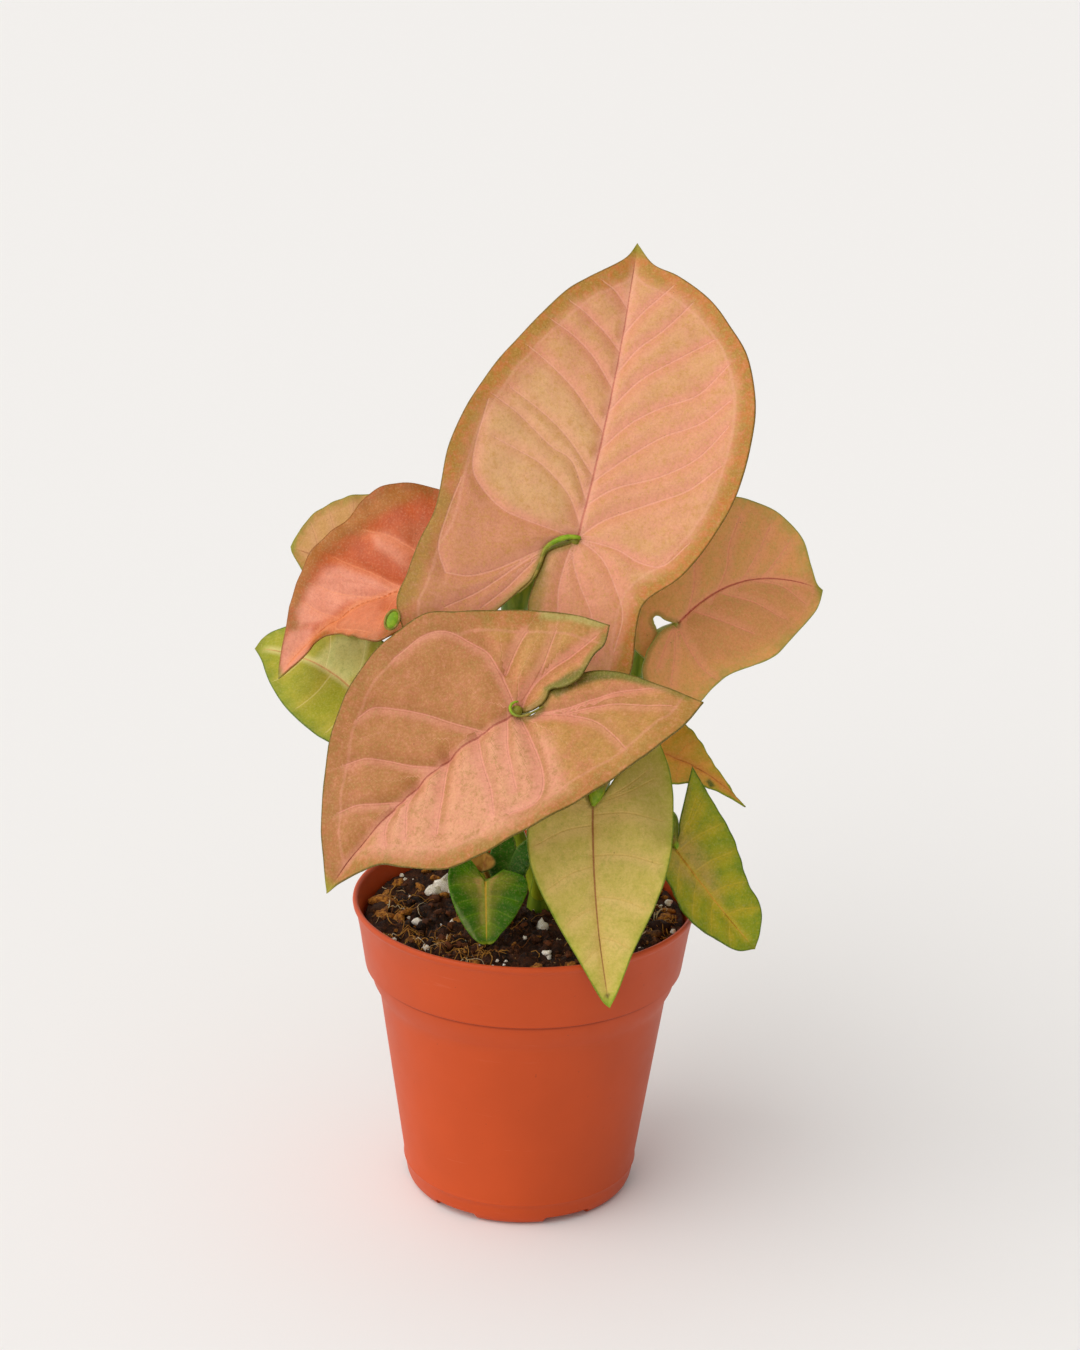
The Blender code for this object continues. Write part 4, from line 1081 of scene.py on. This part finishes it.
def pot_outside():
    """The pot's outer profile from the foot to the rim, as (radius, height) in millimetres."""
    return [
        (FOOT_RADIUS - 0.4, 0.0),
        (FOOT_RADIUS + 1.0, 0.3),
        (FOOT_RADIUS + 2.0, 0.9),
        (FOOT_RADIUS + 2.7, 1.8),
        (FOOT_RADIUS + 3.1, 2.8),
        (FOOT_RADIUS + 3.4, 4.2),
        (BODY_FOOT_RADIUS, 5.6),
        (BODY_FOOT_RADIUS + 0.35, 7.3),
        (BODY_FOOT_RADIUS + 0.65, 7.7),
        (BODY_FOOT_RADIUS + 0.6, 8.2),
        (BODY_FOOT_RADIUS + 0.45, 8.6),
        (BODY_TOP_RADIUS, SHOULDER_BOTTOM),
        (BODY_TOP_RADIUS + 0.3, 63.4),
        (BODY_TOP_RADIUS + 0.9, 65.2),
        (BODY_TOP_RADIUS + 2.5, 68.4),
        (BAND_RADIUS - 1.7, 71.0),
        (BAND_RADIUS - 1.4, 72.2),
        (BAND_RADIUS - 1.35, BAND_BOTTOM - 0.6),
        (BAND_RADIUS - 0.5, BAND_BOTTOM - 0.5),
        (BAND_RADIUS - 0.05, BAND_BOTTOM - 0.15),
        (BAND_RADIUS + 0.1, BAND_BOTTOM + 0.6),
        (RIM_RADIUS - 2.2, 85.0),
        (RIM_RADIUS - 1.0, 91.6),
        (RIM_RADIUS - 0.55, 92.5),
        (RIM_RADIUS - 0.1, 93.0),
        (RIM_RADIUS, 93.6),
        (RIM_RADIUS - 0.1, POT_HEIGHT - 0.4),
        (RIM_RADIUS - 0.35, POT_HEIGHT - 0.1),
        (RIM_RADIUS - 0.7, POT_HEIGHT),
    ]


def pot_inside():
    """The pot's inner profile from the rim down to the middle of the floor."""
    return [
        (RIM_RADIUS - 1.2, POT_HEIGHT - 0.15),
        (RIM_RADIUS - 1.6, POT_HEIGHT - 0.7),
        (RIM_RADIUS - 1.8, 93.2),
        (RIM_RADIUS - 2.2 - WALL, 85.0),
        (BAND_RADIUS - WALL, BAND_BOTTOM + 0.2),
        (BODY_TOP_RADIUS + 1.4, 68.4),
        (BODY_TOP_RADIUS - WALL, SHOULDER_BOTTOM),
        (BODY_FOOT_RADIUS - WALL, 5.6),
        (FOOT_RADIUS - 0.4, FLOOR_RISE + FLOOR),
    ]


def pot_underside():
    """The underside from the middle of the floor out to the foot ring."""
    return [
        (CENTRE_PAD_RADIUS, 0.0),
        (CENTRE_PAD_RADIUS + 0.5, 0.3),
        (CENTRE_PAD_RADIUS + 1.2, FLOOR_RISE),
        (CHANNEL_EDGE, FLOOR_RISE),
        (CHANNEL_EDGE + 0.5, 0.3),
        (CHANNEL_EDGE + 0.9, 0.0),
    ]


def turned_solid(profile, sides):
    """A closed solid turned from a profile of (radius, height); its ends close on the axis."""
    bm = bmesh.new()
    verts = [bm.verts.new(Vector((radius, 0, height)) * MM) for radius, height in profile]
    edges = [bm.edges.new(pair) for pair in zip(verts, verts[1:])]
    bmesh.ops.spin(bm, geom=verts + edges, cent=(0, 0, 0), axis=(0, 0, 1),
                   angle=math.tau, steps=sides, use_merge=True)
    bmesh.ops.remove_doubles(bm, verts=bm.verts, dist=0.02 * MM)
    bmesh.ops.recalc_face_normals(bm, faces=bm.faces)
    return bm


def pot_plastic(colour):
    """Matt orange-brown plastic with a fine moulded grain, faint scuffs, specks of soil dust, and a painted
    shade line under the rim band.
    """
    w = Wires("pot_plastic", 0.45, 0.28)
    cloud = w.noise(26, 3)
    base = w.blend(w.fade(cloud, 0.3, 0.7), colour, tuple(c * 0.93 for c in colour))
    scuff = w.fade(w.noise(3.5, 5, w.place((0.12, 0.12, 1.6)), rough=0.7), 0.63, 0.75)
    base = w.blend(w.times(scuff, 0.10), base, tone(POT_SCUFF))
    specks = w.fade(w.noise(1.3, 1), 0.77, 0.8)
    base = w.blend(w.times(specks, 0.35), base, tone(POT_SPECK))
    split = w.nodes.new("ShaderNodeSeparateXYZ")
    w.links.new(w.place(), split.inputs["Vector"])
    # Painted shade: a thin darker line just under the rim band, where the band's overhang shades the wall
    under = w.math("ABSOLUTE", w.math("SUBTRACT", split.outputs["Z"], (BAND_BOTTOM - 0.9) * MM))
    base = w.blend(w.times(w.fade(under, 0.9 * MM, 0.2 * MM), 0.6), base, tone(POT_BAND_SHADE))
    grain = w.noise(0.45, 3)
    w.bump(grain, 0.03, 0.35)
    rough = w.math("MULTIPLY_ADD", w.noise(6, 4), 0.14, 0.40)
    return w.finish(base, rough)


def apply_modifiers(made):
    """Keep an object's modified shape as its own mesh."""
    depsgraph = bpy.context.evaluated_depsgraph_get()
    finished = bpy.data.meshes.new_from_object(made.evaluated_get(depsgraph))
    made.modifiers.clear()
    made.data = finished


def make_pot(sides, colour):
    """The thin nursery pot, with its lip, rim band, raised floor and notched foot."""
    profile = ([(0, 0.0)] + pot_underside() + pot_outside() + pot_inside()
               + [(0, FLOOR_RISE + FLOOR)])
    bm = turned_solid(profile, sides)
    made = add_piece("pot_shell", bm, [pot_plastic(colour)], ["pot"])
    cutter = bmesh.new()
    for i in range(NOTCHES):
        angle = math.radians(FIRST_NOTCH - 90 + 360 * i / NOTCHES)
        size = Matrix.Diagonal((NOTCH_DEPTH * MM, NOTCH_WIDTH * MM, 2 * FLOOR_RISE * MM, 1))
        place = Matrix.Rotation(angle, 4, "Z") @ Matrix.Translation(((FOOT_RADIUS + 0.6) * MM, 0, 0))
        block = bmesh.ops.create_cube(cutter, size=1.0, matrix=place @ size)
        upright = [e for v in block["verts"] for e in v.link_edges]
        bmesh.ops.bevel(cutter, geom=list(set(upright)), offset=0.8 * MM, offset_type="OFFSET",
                        segments=3, profile=0.5, affect="EDGES", material=-1)
    mesh = bpy.data.meshes.new("foot notches")
    cutter.to_mesh(mesh)
    cutter.free()
    guide = bpy.data.objects.new("foot_notches", mesh)
    bpy.context.scene.collection.objects.link(guide)
    step = made.modifiers.new("foot notches", "BOOLEAN")
    step.operation = "DIFFERENCE"
    step.solver = "EXACT"
    step.object = guide
    bpy.context.view_layer.update()
    apply_modifiers(made)
    bpy.data.objects.remove(guide, do_unlink=True)
    made.data.shade_smooth()
    made.data.set_sharp_from_angle(angle=math.radians(38))
    return made


def lump(x, y):
    """Height of the crumbly top of the soil at a point, in millimetres."""
    rough = math.sin(x * 0.61 + 1.3) * math.sin(y * 0.53 + 0.4)
    fine = math.sin(x * 1.27 - y * 0.9) * math.sin(y * 1.41 + x * 0.35)
    return SOIL_LUMP * (rough + 0.5 * fine)


def crumble(x, y):
    """Small lumps and pits on top of the soil's shape, in millimetres."""
    coarse = noise.noise(Vector((x * 0.22, y * 0.22, 1.7)))
    middle = noise.noise(Vector((x * 0.55, y * 0.55, 4.2)))
    small = noise.noise(Vector((x * 1.3, y * 1.3, 9.1)))
    return 1.3 * coarse + 1.3 * middle + 0.8 * small


def soil_height(x, y):
    """Height of the soil's surface at a point, in millimetres."""
    edge = max(0.0, 1 - max(0.0, math.hypot(x, y) - CALM_FROM) / CALM_WIDTH)
    return SOIL_LEVEL + (lump(x, y) + crumble(x, y)) * (0.35 + 0.65 * edge)


def make_soil(settings):
    """The potting mix as one solid, finely crumbled on top."""
    wall = [(BODY_FOOT_RADIUS - WALL - 0.4, 6.0), (BODY_TOP_RADIUS - WALL - 0.4, SHOULDER_BOTTOM),
            (BODY_TOP_RADIUS + 1.0, 68.6), (BAND_RADIUS - WALL - 0.4, BAND_BOTTOM + 0.4),
            (RIM_RADIUS - 2.6 - WALL, 85.0), (SOIL_RADIUS + 0.3, SOIL_LEVEL - 1.0)]
    rings = settings.soil_rings
    top = [(SOIL_RADIUS * (1 - i / rings), SOIL_LEVEL) for i in range(rings)]
    profile = [(0, FLOOR_RISE + FLOOR + 0.3), (FOOT_RADIUS - 1.1, FLOOR_RISE + FLOOR + 0.3)]
    bm = turned_solid(profile + wall + top + [(0, SOIL_LEVEL)], settings.soil_sides)
    for vert in bm.verts:
        x, y, z = vert.co / MM
        if z > SOIL_LEVEL - 0.1:
            vert.co.z = soil_height(x, y) * MM
    return add_piece("soil_surface", bm, [peat()], ["soil"])


def peat():
    """Dark brown peat with rusty coir dust, pale grit and damp patches."""
    w = Wires("peat", 0.85)
    coarse = w.noise(5, 6, rough=0.7)
    fine = w.noise(0.9, 4, rough=0.7)
    colour = w.blend(w.fade(coarse, 0.35, 0.65), tone(PEAT_WET), tone(PEAT_DRY))
    colour = w.blend(w.times(w.fade(fine, 0.52, 0.72), 0.6), colour, tone(PEAT_RUST))
    colour = w.blend(w.fade(w.noise(0.7, 2), 0.70, 0.76), colour, tone(PEAT_GRIT))
    w.bump(w.math("ADD", fine, w.times(coarse, 0.6)), 0.7, 0.9)
    return w.finish(colour, w.math("MULTIPLY_ADD", fine, 0.3, 0.62))


def chip(bm, spot, size, seed, stretch, layer, shade):
    """One small rough lump: a ball with its surface pushed in and out."""
    rng = random.Random(seed)
    turn = Matrix.Rotation(rng.uniform(0, math.tau), 4, "Z") @ Matrix.Rotation(rng.uniform(-0.7, 0.7), 4, "X")
    ball = bmesh.ops.create_icosphere(bm, subdivisions=2, radius=1.0)
    offset = Vector((rng.uniform(0, 50), rng.uniform(0, 50), rng.uniform(0, 50)))
    for vert in ball["verts"]:
        push = 1 + 0.75 * noise.noise(vert.co * 1.3 + offset) + 0.3 * noise.noise(vert.co * 3.1 + offset)
        shaped = Vector([c * s for c, s in zip(vert.co, stretch)]) * push * size
        vert.co = (Vector(spot) + turn @ shaped) * MM
        vert[layer] = shade


def scatter(seed, count, low, high):
    """Seeded places on the soil: x, y and a size in millimetres."""
    rng = random.Random(seed)
    places = []
    while len(places) < count:
        x = rng.uniform(-SCATTER_SPAN, SCATTER_SPAN)
        y = rng.uniform(-SCATTER_SPAN, SCATTER_SPAN)
        if math.hypot(x, y) < SCATTER_REACH:
            places.append((x, y, low + (high - low) * rng.random() ** 2.5))
    return places


def make_chips(name, places, skin, stretch, sink):
    """Many rough lumps lying in the top of the soil, as one piece."""
    bm = bmesh.new()
    layer = bm.verts.layers.float.new("shade")
    rng = random.Random(len(places))
    for i, (x, y, size) in enumerate(places):
        shape = tuple(s * rng.uniform(0.75, 1.25) for s in stretch)
        height = soil_height(x, y) + size * stretch[2] * sink
        chip(bm, (x, y, height), size, i, shape, layer, rng.random())
    bmesh.ops.recalc_face_normals(bm, faces=bm.faces)
    return add_piece(name, bm, [skin])


def perlite():
    """White puffed perlite with pitted pores and a little soil dust."""
    w = Wires("perlite", 0.8)
    pores = w.cells(0.6)
    colour = w.blend(w.fade(pores, 0.0, 0.2), tone(PERLITE_PORE), tone(PERLITE_WHITE))
    colour = w.blend(w.times(w.fade(w.noise(2.2, 4), 0.5, 0.7), 0.55), colour, tone(PERLITE_DUST))
    w.bump(pores, 0.3, 0.8)
    return w.finish(colour)


def bark():
    """Rusty brown bark and coir lumps, no two quite alike."""
    w = Wires("bark", 0.8)
    streaks = w.noise(1.2, 5, w.place((1, 1, 0.4)), rough=0.7)
    colour = w.blend(w.fade(streaks, 0.35, 0.65), tone(BARK_BROWN), tone(BARK_GOLD))
    colour = w.blend(w.fade(w.attribute("shade"), 0.55, 0.9), colour, tone(BARK_WET))
    w.bump(streaks, 0.5, 0.8)
    return w.finish(colour)


def crumbs():
    """Dark peat crumbs in several browns."""
    w = Wires("peat_crumbs", 0.85)
    fine = w.noise(0.8, 4)
    colour = w.blend(w.attribute("shade"), tone(CRUMB_DARK), tone(CRUMB_BROWN))
    colour = w.blend(w.times(w.fade(fine, 0.5, 0.7), 0.6), colour, tone(CRUMB_DRY))
    w.bump(fine, 0.3, 0.8)
    return w.finish(colour)


def make_fibres(settings):
    """Fine coir fibres and pale roots lying curled on the soil."""
    bm = bmesh.new()
    shade = bm.verts.layers.float.new("shade")
    rng = random.Random(11)
    for i in range(settings.fibre_count):
        angle, reach = rng.uniform(0, math.tau), FIBRE_REACH * math.sqrt(rng.random())
        clump = CLUMPS[i % len(CLUMPS)]
        x, y = reach * math.cos(angle), reach * math.sin(angle)
        if i % 3:
            x, y = clump[0] + rng.gauss(0, 4), clump[1] + rng.gauss(0, 3)
        heading = rng.uniform(0, math.tau)
        bend = rng.uniform(-0.35, 0.35)
        length = rng.uniform(3, 10)
        path = []
        for k in range(7):
            if math.hypot(x, y) > SCATTER_SPAN:
                break
            lift = 0.25 + rng.uniform(0, 0.5) + 1.2 * math.sin(math.pi * k / 6) * rng.random()
            path.append(Vector((x, y, soil_height(x, y) + lift)))
            x += math.cos(heading) * length / 6
            y += math.sin(heading) * length / 6
            heading += bend + rng.uniform(-0.35, 0.35)
        if len(path) < 4:
            continue
        start = len(bm.verts)
        size = rng.uniform(0.07, 0.17)
        tube(bm, path, [size] * len(path), 5)
        bm.verts.ensure_lookup_table()
        value = rng.random()
        for vert in bm.verts[start:]:
            vert[shade] = value
    bmesh.ops.recalc_face_normals(bm, faces=bm.faces)
    return add_piece("coir_fibres", bm, [fibre()])


def fibre():
    """Coir fibres from rusty to straw coloured, a few of them pale roots."""
    w = Wires("fibre", 0.7)
    shade = w.attribute("shade")
    colour = w.blend(w.fade(shade, 0.0, 0.6), tone(FIBRE_RUST), tone(FIBRE_STRAW))
    colour = w.blend(w.fade(shade, 0.8, 0.9), colour, tone(FIBRE_ROOT))
    streaks = w.noise(0.5, 3)
    colour = w.blend(w.times(streaks, 0.3), colour, tone(FIBRE_STREAK))
    w.bump(streaks, 0.05, 0.5)
    return w.finish(colour)


def knuckle_path(leaf, points):
    """A path given on a leaf: across, along and height over the bent blade in millimetres."""
    place = leaf_place(leaf)
    path = []
    for x, y, lift in points:
        height = blade_height(leaf, x, y, -1 if x < 0 else 1) + lift
        path.append(place @ Vector((x, y, height)))
    return smooth_line(path, KNUCKLE_RINGS)


def make_knuckles(leaves, skin):
    """The green stalk tops that show in the sinus of the larger leaves."""
    bm = bmesh.new()
    along = bm.verts.layers.float.new("along")
    for name, (points, start, end) in STALK_TOPS.items():
        path = knuckle_path(leaves[name], points)
        count = len(path) - 1
        radii = [(start + (end - start) * (i / count) ** 0.6) * min(1.0, 0.45 + 0.2 * i)
                 for i in range(count + 1)]
        tube(bm, path, radii, KNUCKLE_SIDES, along)
    add_curl(bm, along, leaves["leaf_crown"])
    bmesh.ops.recalc_face_normals(bm, faces=bm.faces)
    return add_piece("stalk_tops", bm, [skin])


def make_young_leaf():
    """A tiny brown-orange leaf just opening behind the small green one, with its thin stalk."""
    bm = bmesh.new()
    rim = bm.verts.layers.float.new("rim")
    turned = Matrix.Rotation(math.radians(YOUNG_TURN), 4, "Z")
    turn = turned @ Matrix.Rotation(math.radians(YOUNG_LEAN), 4, "X")
    place = Matrix.Scale(MM, 4) @ Matrix.Translation(YOUNG_PLACE) @ turn
    ball = bmesh.ops.create_icosphere(bm, subdivisions=4, radius=1.0)
    for vert in ball["verts"]:
        x, y, z = vert.co
        away = math.hypot(x, y)
        vert[rim] = away
        dip = 0.7 * away * away - 0.35 * math.exp(-(x / 0.12) ** 2)
        across, down = x * YOUNG_SIZE[0], y * YOUNG_SIZE[1] * (1 - 0.25 * abs(x))
        vert.co = place @ Vector((across, down, 0.35 * z + dip))
    way = smooth_line([*YOUNG_STALK, Vector(YOUNG_PLACE) + Vector((0, 1.0, -1.8))], KNUCKLE_RINGS)
    tube(bm, way, [0.9 - 0.3 * i / KNUCKLE_RINGS for i in range(KNUCKLE_RINGS + 1)], 10)
    bmesh.ops.recalc_face_normals(bm, faces=bm.faces)
    w = Wires("young_leaf", 0.5, 0.15)
    cloud = w.noise(1.6, 4)
    colour = w.blend(w.fade(cloud, 0.35, 0.65), tone(YOUNG_DARK), tone(YOUNG_PALE))
    colour = w.blend(w.fade(w.attribute("rim"), 0.72, 0.98), colour, tone(YOUNG_RIM))
    w.bump(cloud, 0.15, 0.6)
    return add_piece("young_leaf", bm, [w.finish(colour)])


def add_curl(bm, along, leaf):
    """The end of the top leaf's left lobe, rolled forward into a small green cup with a dark rim."""
    x, y = CURL_PLACE
    wide, tall = CURL_SIZE
    place = leaf_place(leaf) @ Matrix.Translation((x, y, blade_height(leaf, x, y, -1) + 0.4))
    place = place @ Matrix.Rotation(math.radians(CURL_TURN), 4, "Z")
    flat = Matrix.Scale(MM, 4) @ place @ Matrix.Diagonal((wide, tall, 0.6, 1))
    bmesh.ops.create_icosphere(bm, subdivisions=3, radius=1.0, matrix=flat)
    ring = []
    for i in range(25):
        angle = math.tau * i / 24
        ring.append(place @ Vector((wide * math.cos(angle), tall * math.sin(angle), 0.3)))
    start = len(bm.verts)
    tube(bm, ring, [0.38] * 25, 8)
    bm.verts.ensure_lookup_table()
    for vert in bm.verts[start:]:
        vert[along] = 1.0


def make_floor(settings):
    """A wide pale floor."""
    bm = bmesh.new()
    bmesh.ops.create_grid(bm, x_segments=8, y_segments=8, size=settings.floor_reach)
    mesh = bpy.data.meshes.new("floor")
    bm.to_mesh(mesh)
    bm.free()
    w = Wires("floor_paint", 0.9)
    base = tuple(settings.floor_colour)
    mottled = w.blend(w.times(w.noise(900, 1), 0.05), base, tuple(c * 0.96 for c in base))
    mesh.materials.append(w.finish(mottled))
    made = bpy.data.objects.new("floor", mesh)
    bpy.context.scene.collection.objects.link(made)


def make_lights(settings):
    """A broad soft light from the left and front, and an even pale surround."""
    lamp = bpy.data.lights.new("soft key", "SUN")
    lamp.energy = settings.key_strength
    lamp.angle = settings.key_softness
    lamp.color = (1.0, 0.985, 0.96)
    made = bpy.data.objects.new("soft key", lamp)
    made.rotation_euler = Vector(LIGHT_HEADING).to_track_quat("-Z", "Y").to_euler()
    bpy.context.scene.collection.objects.link(made)
    world = bpy.data.worlds.new("pale surround")
    world.use_nodes = True
    nodes, links = world.node_tree.nodes, world.node_tree.links
    surround = nodes["Background"]
    surround.inputs["Color"].default_value = (*settings.surround_colour, 1.0)
    coords = nodes.new("ShaderNodeTexCoord")
    split = nodes.new("ShaderNodeSeparateXYZ")
    links.new(coords.outputs["Generated"], split.inputs["Vector"])
    falloff = nodes.new("ShaderNodeMapRange")
    falloff.inputs["From Min"].default_value = -1.0
    falloff.inputs["To Min"].default_value = settings.surround_strength * (1 + settings.surround_lean)
    falloff.inputs["To Max"].default_value = settings.surround_strength * (1 - settings.surround_lean)
    links.new(split.outputs["X"], falloff.inputs["Value"])
    links.new(falloff.outputs["Result"], surround.inputs["Strength"])
    bpy.context.scene.world = world


def make_camera(settings):
    """The camera, looking slightly down on the plant."""
    rise = settings.camera_rise
    back = Vector((0, -math.cos(rise), math.sin(rise)))
    right = Vector((1, 0, 0))
    up = back.cross(right)
    roll = settings.camera_roll
    across = math.cos(roll) * right + math.sin(roll) * up
    top = -math.sin(roll) * right + math.cos(roll) * up
    data = bpy.data.cameras.new("camera")
    data.sensor_width = 36.0
    data.lens = settings.camera_lens
    data.clip_start = 0.02
    data.clip_end = 60
    made = bpy.data.objects.new("camera", data)
    turn = Matrix((across, top, back)).transposed().to_4x4()
    target = Vector(CAMERA_TARGET) * MM
    made.matrix_world = Matrix.Translation(target + back * settings.camera_distance) @ turn
    bpy.context.scene.collection.objects.link(made)
    bpy.context.scene.camera = made


class PlantSizes(bpy.types.PropertyGroup):
    """Sizes of the fine pieces."""
    blade_thickness: bpy.props.FloatProperty(
        name="Blade thickness", description="Thickness of a leaf blade", default=0.5 * MM,
        min=0.1 * MM, max=2 * MM, unit="LENGTH")
    grid_step: bpy.props.FloatProperty(
        name="Blade grid", description="Distance between points across a leaf blade",
        default=0.8 * MM, min=0.3 * MM, max=5 * MM, unit="LENGTH")
    relief: bpy.props.FloatProperty(
        name="Quilting", description="Depth of the quilting between the veins, 1 as on the plant",
        default=1.0, min=0.0, max=3.0)
    grain_depth: bpy.props.FloatProperty(
        name="Leaf grain", description="Strength of the fine grain of the leaves",
        default=0.5, min=0.0, max=1.0, subtype="FACTOR")
    pot_sides: bpy.props.IntProperty(
        name="Pot sides", description="Number of faces round the pot", default=144, min=24, max=360)
    soil_rings: bpy.props.IntProperty(
        name="Soil rings", description="Number of rings across the soil", default=90, min=10, max=160)
    soil_sides: bpy.props.IntProperty(
        name="Soil sides", description="Number of faces round the soil", default=260, min=24, max=360)
    crumb_count: bpy.props.IntProperty(
        name="Crumbs", description="Number of loose peat crumbs", default=520, min=0, max=900)
    fibre_count: bpy.props.IntProperty(
        name="Fibres", description="Number of coir fibres on the soil", default=240, min=0, max=600)


class PlantColours(bpy.types.PropertyGroup):
    """Colours of the pot."""
    pot_colour: bpy.props.FloatVectorProperty(
        name="Pot", description="Colour of the pot's plastic", default=tone(POT_COLOUR),
        min=0, max=1, size=3, subtype="COLOR")


class StageSettings(bpy.types.PropertyGroup):
    """Floor, light and camera."""
    floor_reach: bpy.props.FloatProperty(
        name="Floor reach", description="Distance from the pot to the floor's edge", default=12.0,
        min=1, max=40, unit="LENGTH")
    floor_colour: bpy.props.FloatVectorProperty(
        name="Floor", description="Colour of the floor", default=(0.86, 0.85, 0.84),
        min=0, max=1, size=3, subtype="COLOR")
    key_strength: bpy.props.FloatProperty(
        name="Key light", description="Strength of the soft light from the left", default=1.5,
        min=0, max=20)
    key_softness: bpy.props.FloatProperty(
        name="Key softness", description="How wide the soft light looks", default=math.radians(70),
        min=0, max=math.radians(170), subtype="ANGLE")
    surround_strength: bpy.props.FloatProperty(
        name="Surround light", description="Strength of the soft light from all round", default=0.74,
        min=0, max=5)
    surround_lean: bpy.props.FloatProperty(
        name="Surround lean", description="How much brighter the surround is on the left", default=0.5,
        min=0, max=1, subtype="FACTOR")
    surround_colour: bpy.props.FloatVectorProperty(
        name="Surround", description="Colour of the even light", default=(1.0, 0.985, 0.97),
        min=0, max=1, size=3, subtype="COLOR")
    camera_distance: bpy.props.FloatProperty(
        name="Camera distance", description="Distance from the camera to the plant", default=0.85,
        min=0.1, max=10, unit="LENGTH")
    camera_rise: bpy.props.FloatProperty(
        name="Camera rise", description="Angle at which the camera looks down",
        default=math.radians(19.35), min=-1.5, max=1.5, subtype="ANGLE")
    camera_roll: bpy.props.FloatProperty(
        name="Camera roll", description="Tilt of the picture", default=math.radians(1.35),
        min=-1.5, max=1.5, subtype="ANGLE")
    camera_lens: bpy.props.FloatProperty(
        name="Lens", description="Focal length of the camera in millimetres", default=76.35,
        min=10, max=300)


class PLANT_OT_pot(bpy.types.Operator):
    """Build the nursery pot"""
    bl_idname = "plant.pot"
    bl_label = "Pot"

    def execute(self, context):
        make_pot(context.scene.plant_sizes.pot_sides, tuple(context.scene.plant_colours.pot_colour))
        return {"FINISHED"}


class PLANT_OT_soil(bpy.types.Operator):
    """Build the potting mix"""
    bl_idname = "plant.soil"
    bl_label = "Potting mix"

    def execute(self, context):
        make_soil(context.scene.plant_sizes)
        return {"FINISHED"}


class PLANT_OT_soil_bits(bpy.types.Operator):
    """Build the crumbs, bark, perlite and fibres on the potting mix"""
    bl_idname = "plant.soil_bits"
    bl_label = "Crumbs, bark, perlite and fibres"

    def execute(self, context):
        sizes = context.scene.plant_sizes
        make_chips("peat_crumbs", scatter(3, sizes.crumb_count, 0.45, 1.6), crumbs(), (1.1, 0.9, 0.8), 0.15)
        make_chips("bark_lumps", BARK_LUMPS + scatter(5, 60, 0.6, 1.7), bark(), (1.3, 0.8, 0.6), 0.2)
        make_chips("perlite_lumps", PERLITE_LUMPS + scatter(8, 70, 0.25, 0.9), perlite(), (1, 0.9, 0.8), 0.35)
        make_fibres(sizes)
        return {"FINISHED"}


class PLANT_OT_stalks(bpy.types.Operator):
    """Build the stems and leaf stalks"""
    bl_idname = "plant.stalks"
    bl_label = "Stems and stalks"

    def execute(self, context):
        leaves = {leaf.name: leaf for leaf in LEAVES}
        skin = stalk_skin()
        for shoot in SHOOTS:
            make_shoot(shoot, leaves, skin)
        make_knuckles(leaves, knuckle_skin())
        make_young_leaf()
        return {"FINISHED"}


class PLANT_OT_leaves(bpy.types.Operator):
    """Build the leaf blades"""
    bl_idname = "plant.leaves"
    bl_label = "Leaf blades"

    def execute(self, context):
        for leaf in LEAVES:
            make_blade(leaf, context.scene.plant_sizes)
        return {"FINISHED"}


class PLANT_OT_stage(bpy.types.Operator):
    """Build the floor, the light and the camera"""
    bl_idname = "plant.stage"
    bl_label = "Floor, light and camera"

    def execute(self, context):
        settings = context.scene.plant_stage
        make_floor(settings)
        make_lights(settings)
        make_camera(settings)
        context.scene.view_settings.view_transform = "Standard"
        return {"FINISHED"}


class PLANT_PT_panel(bpy.types.Panel):
    """Sizes, colours and builders of the potted plant"""
    bl_idname = "PLANT_PT_panel"
    bl_label = "Arrowhead plant"
    bl_space_type = "VIEW_3D"
    bl_region_type = "UI"
    bl_category = "Plant"

    def draw(self, context):
        for group in (context.scene.plant_sizes, context.scene.plant_colours, context.scene.plant_stage):
            box = self.layout.box()
            for name in group.__annotations__:
                box.prop(group, name)
        for operator in OPERATORS:
            self.layout.operator(operator.bl_idname)


OPERATORS = (PLANT_OT_pot, PLANT_OT_soil, PLANT_OT_soil_bits, PLANT_OT_stalks, PLANT_OT_leaves,
             PLANT_OT_stage)
GROUPS = (PlantSizes, PlantColours, StageSettings)


def register():
    """Make the settings, the builders and the panel known to Blender."""
    for group in GROUPS:
        bpy.utils.register_class(group)
    bpy.types.Scene.plant_sizes = bpy.props.PointerProperty(type=PlantSizes)
    bpy.types.Scene.plant_colours = bpy.props.PointerProperty(type=PlantColours)
    bpy.types.Scene.plant_stage = bpy.props.PointerProperty(type=StageSettings)
    for operator in OPERATORS:
        bpy.utils.register_class(operator)
    bpy.utils.register_class(PLANT_PT_panel)


def unregister():
    """Take the panel, the builders and the settings away again."""
    bpy.utils.unregister_class(PLANT_PT_panel)
    for operator in reversed(OPERATORS):
        bpy.utils.unregister_class(operator)
    del bpy.types.Scene.plant_stage
    del bpy.types.Scene.plant_colours
    del bpy.types.Scene.plant_sizes
    for group in reversed(GROUPS):
        bpy.utils.unregister_class(group)


def main():
    """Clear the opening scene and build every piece."""
    for item in list(bpy.data.objects):
        if "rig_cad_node" not in item and not item.name.startswith("body:"):
            bpy.data.objects.remove(item, do_unlink=True)
    register()
    bpy.ops.plant.pot()
    bpy.ops.plant.soil()
    bpy.ops.plant.soil_bits()
    bpy.ops.plant.stalks()
    bpy.ops.plant.leaves()
    bpy.ops.plant.stage()
    bpy.context.view_layer.update()


if __name__ == "__main__":
    main()
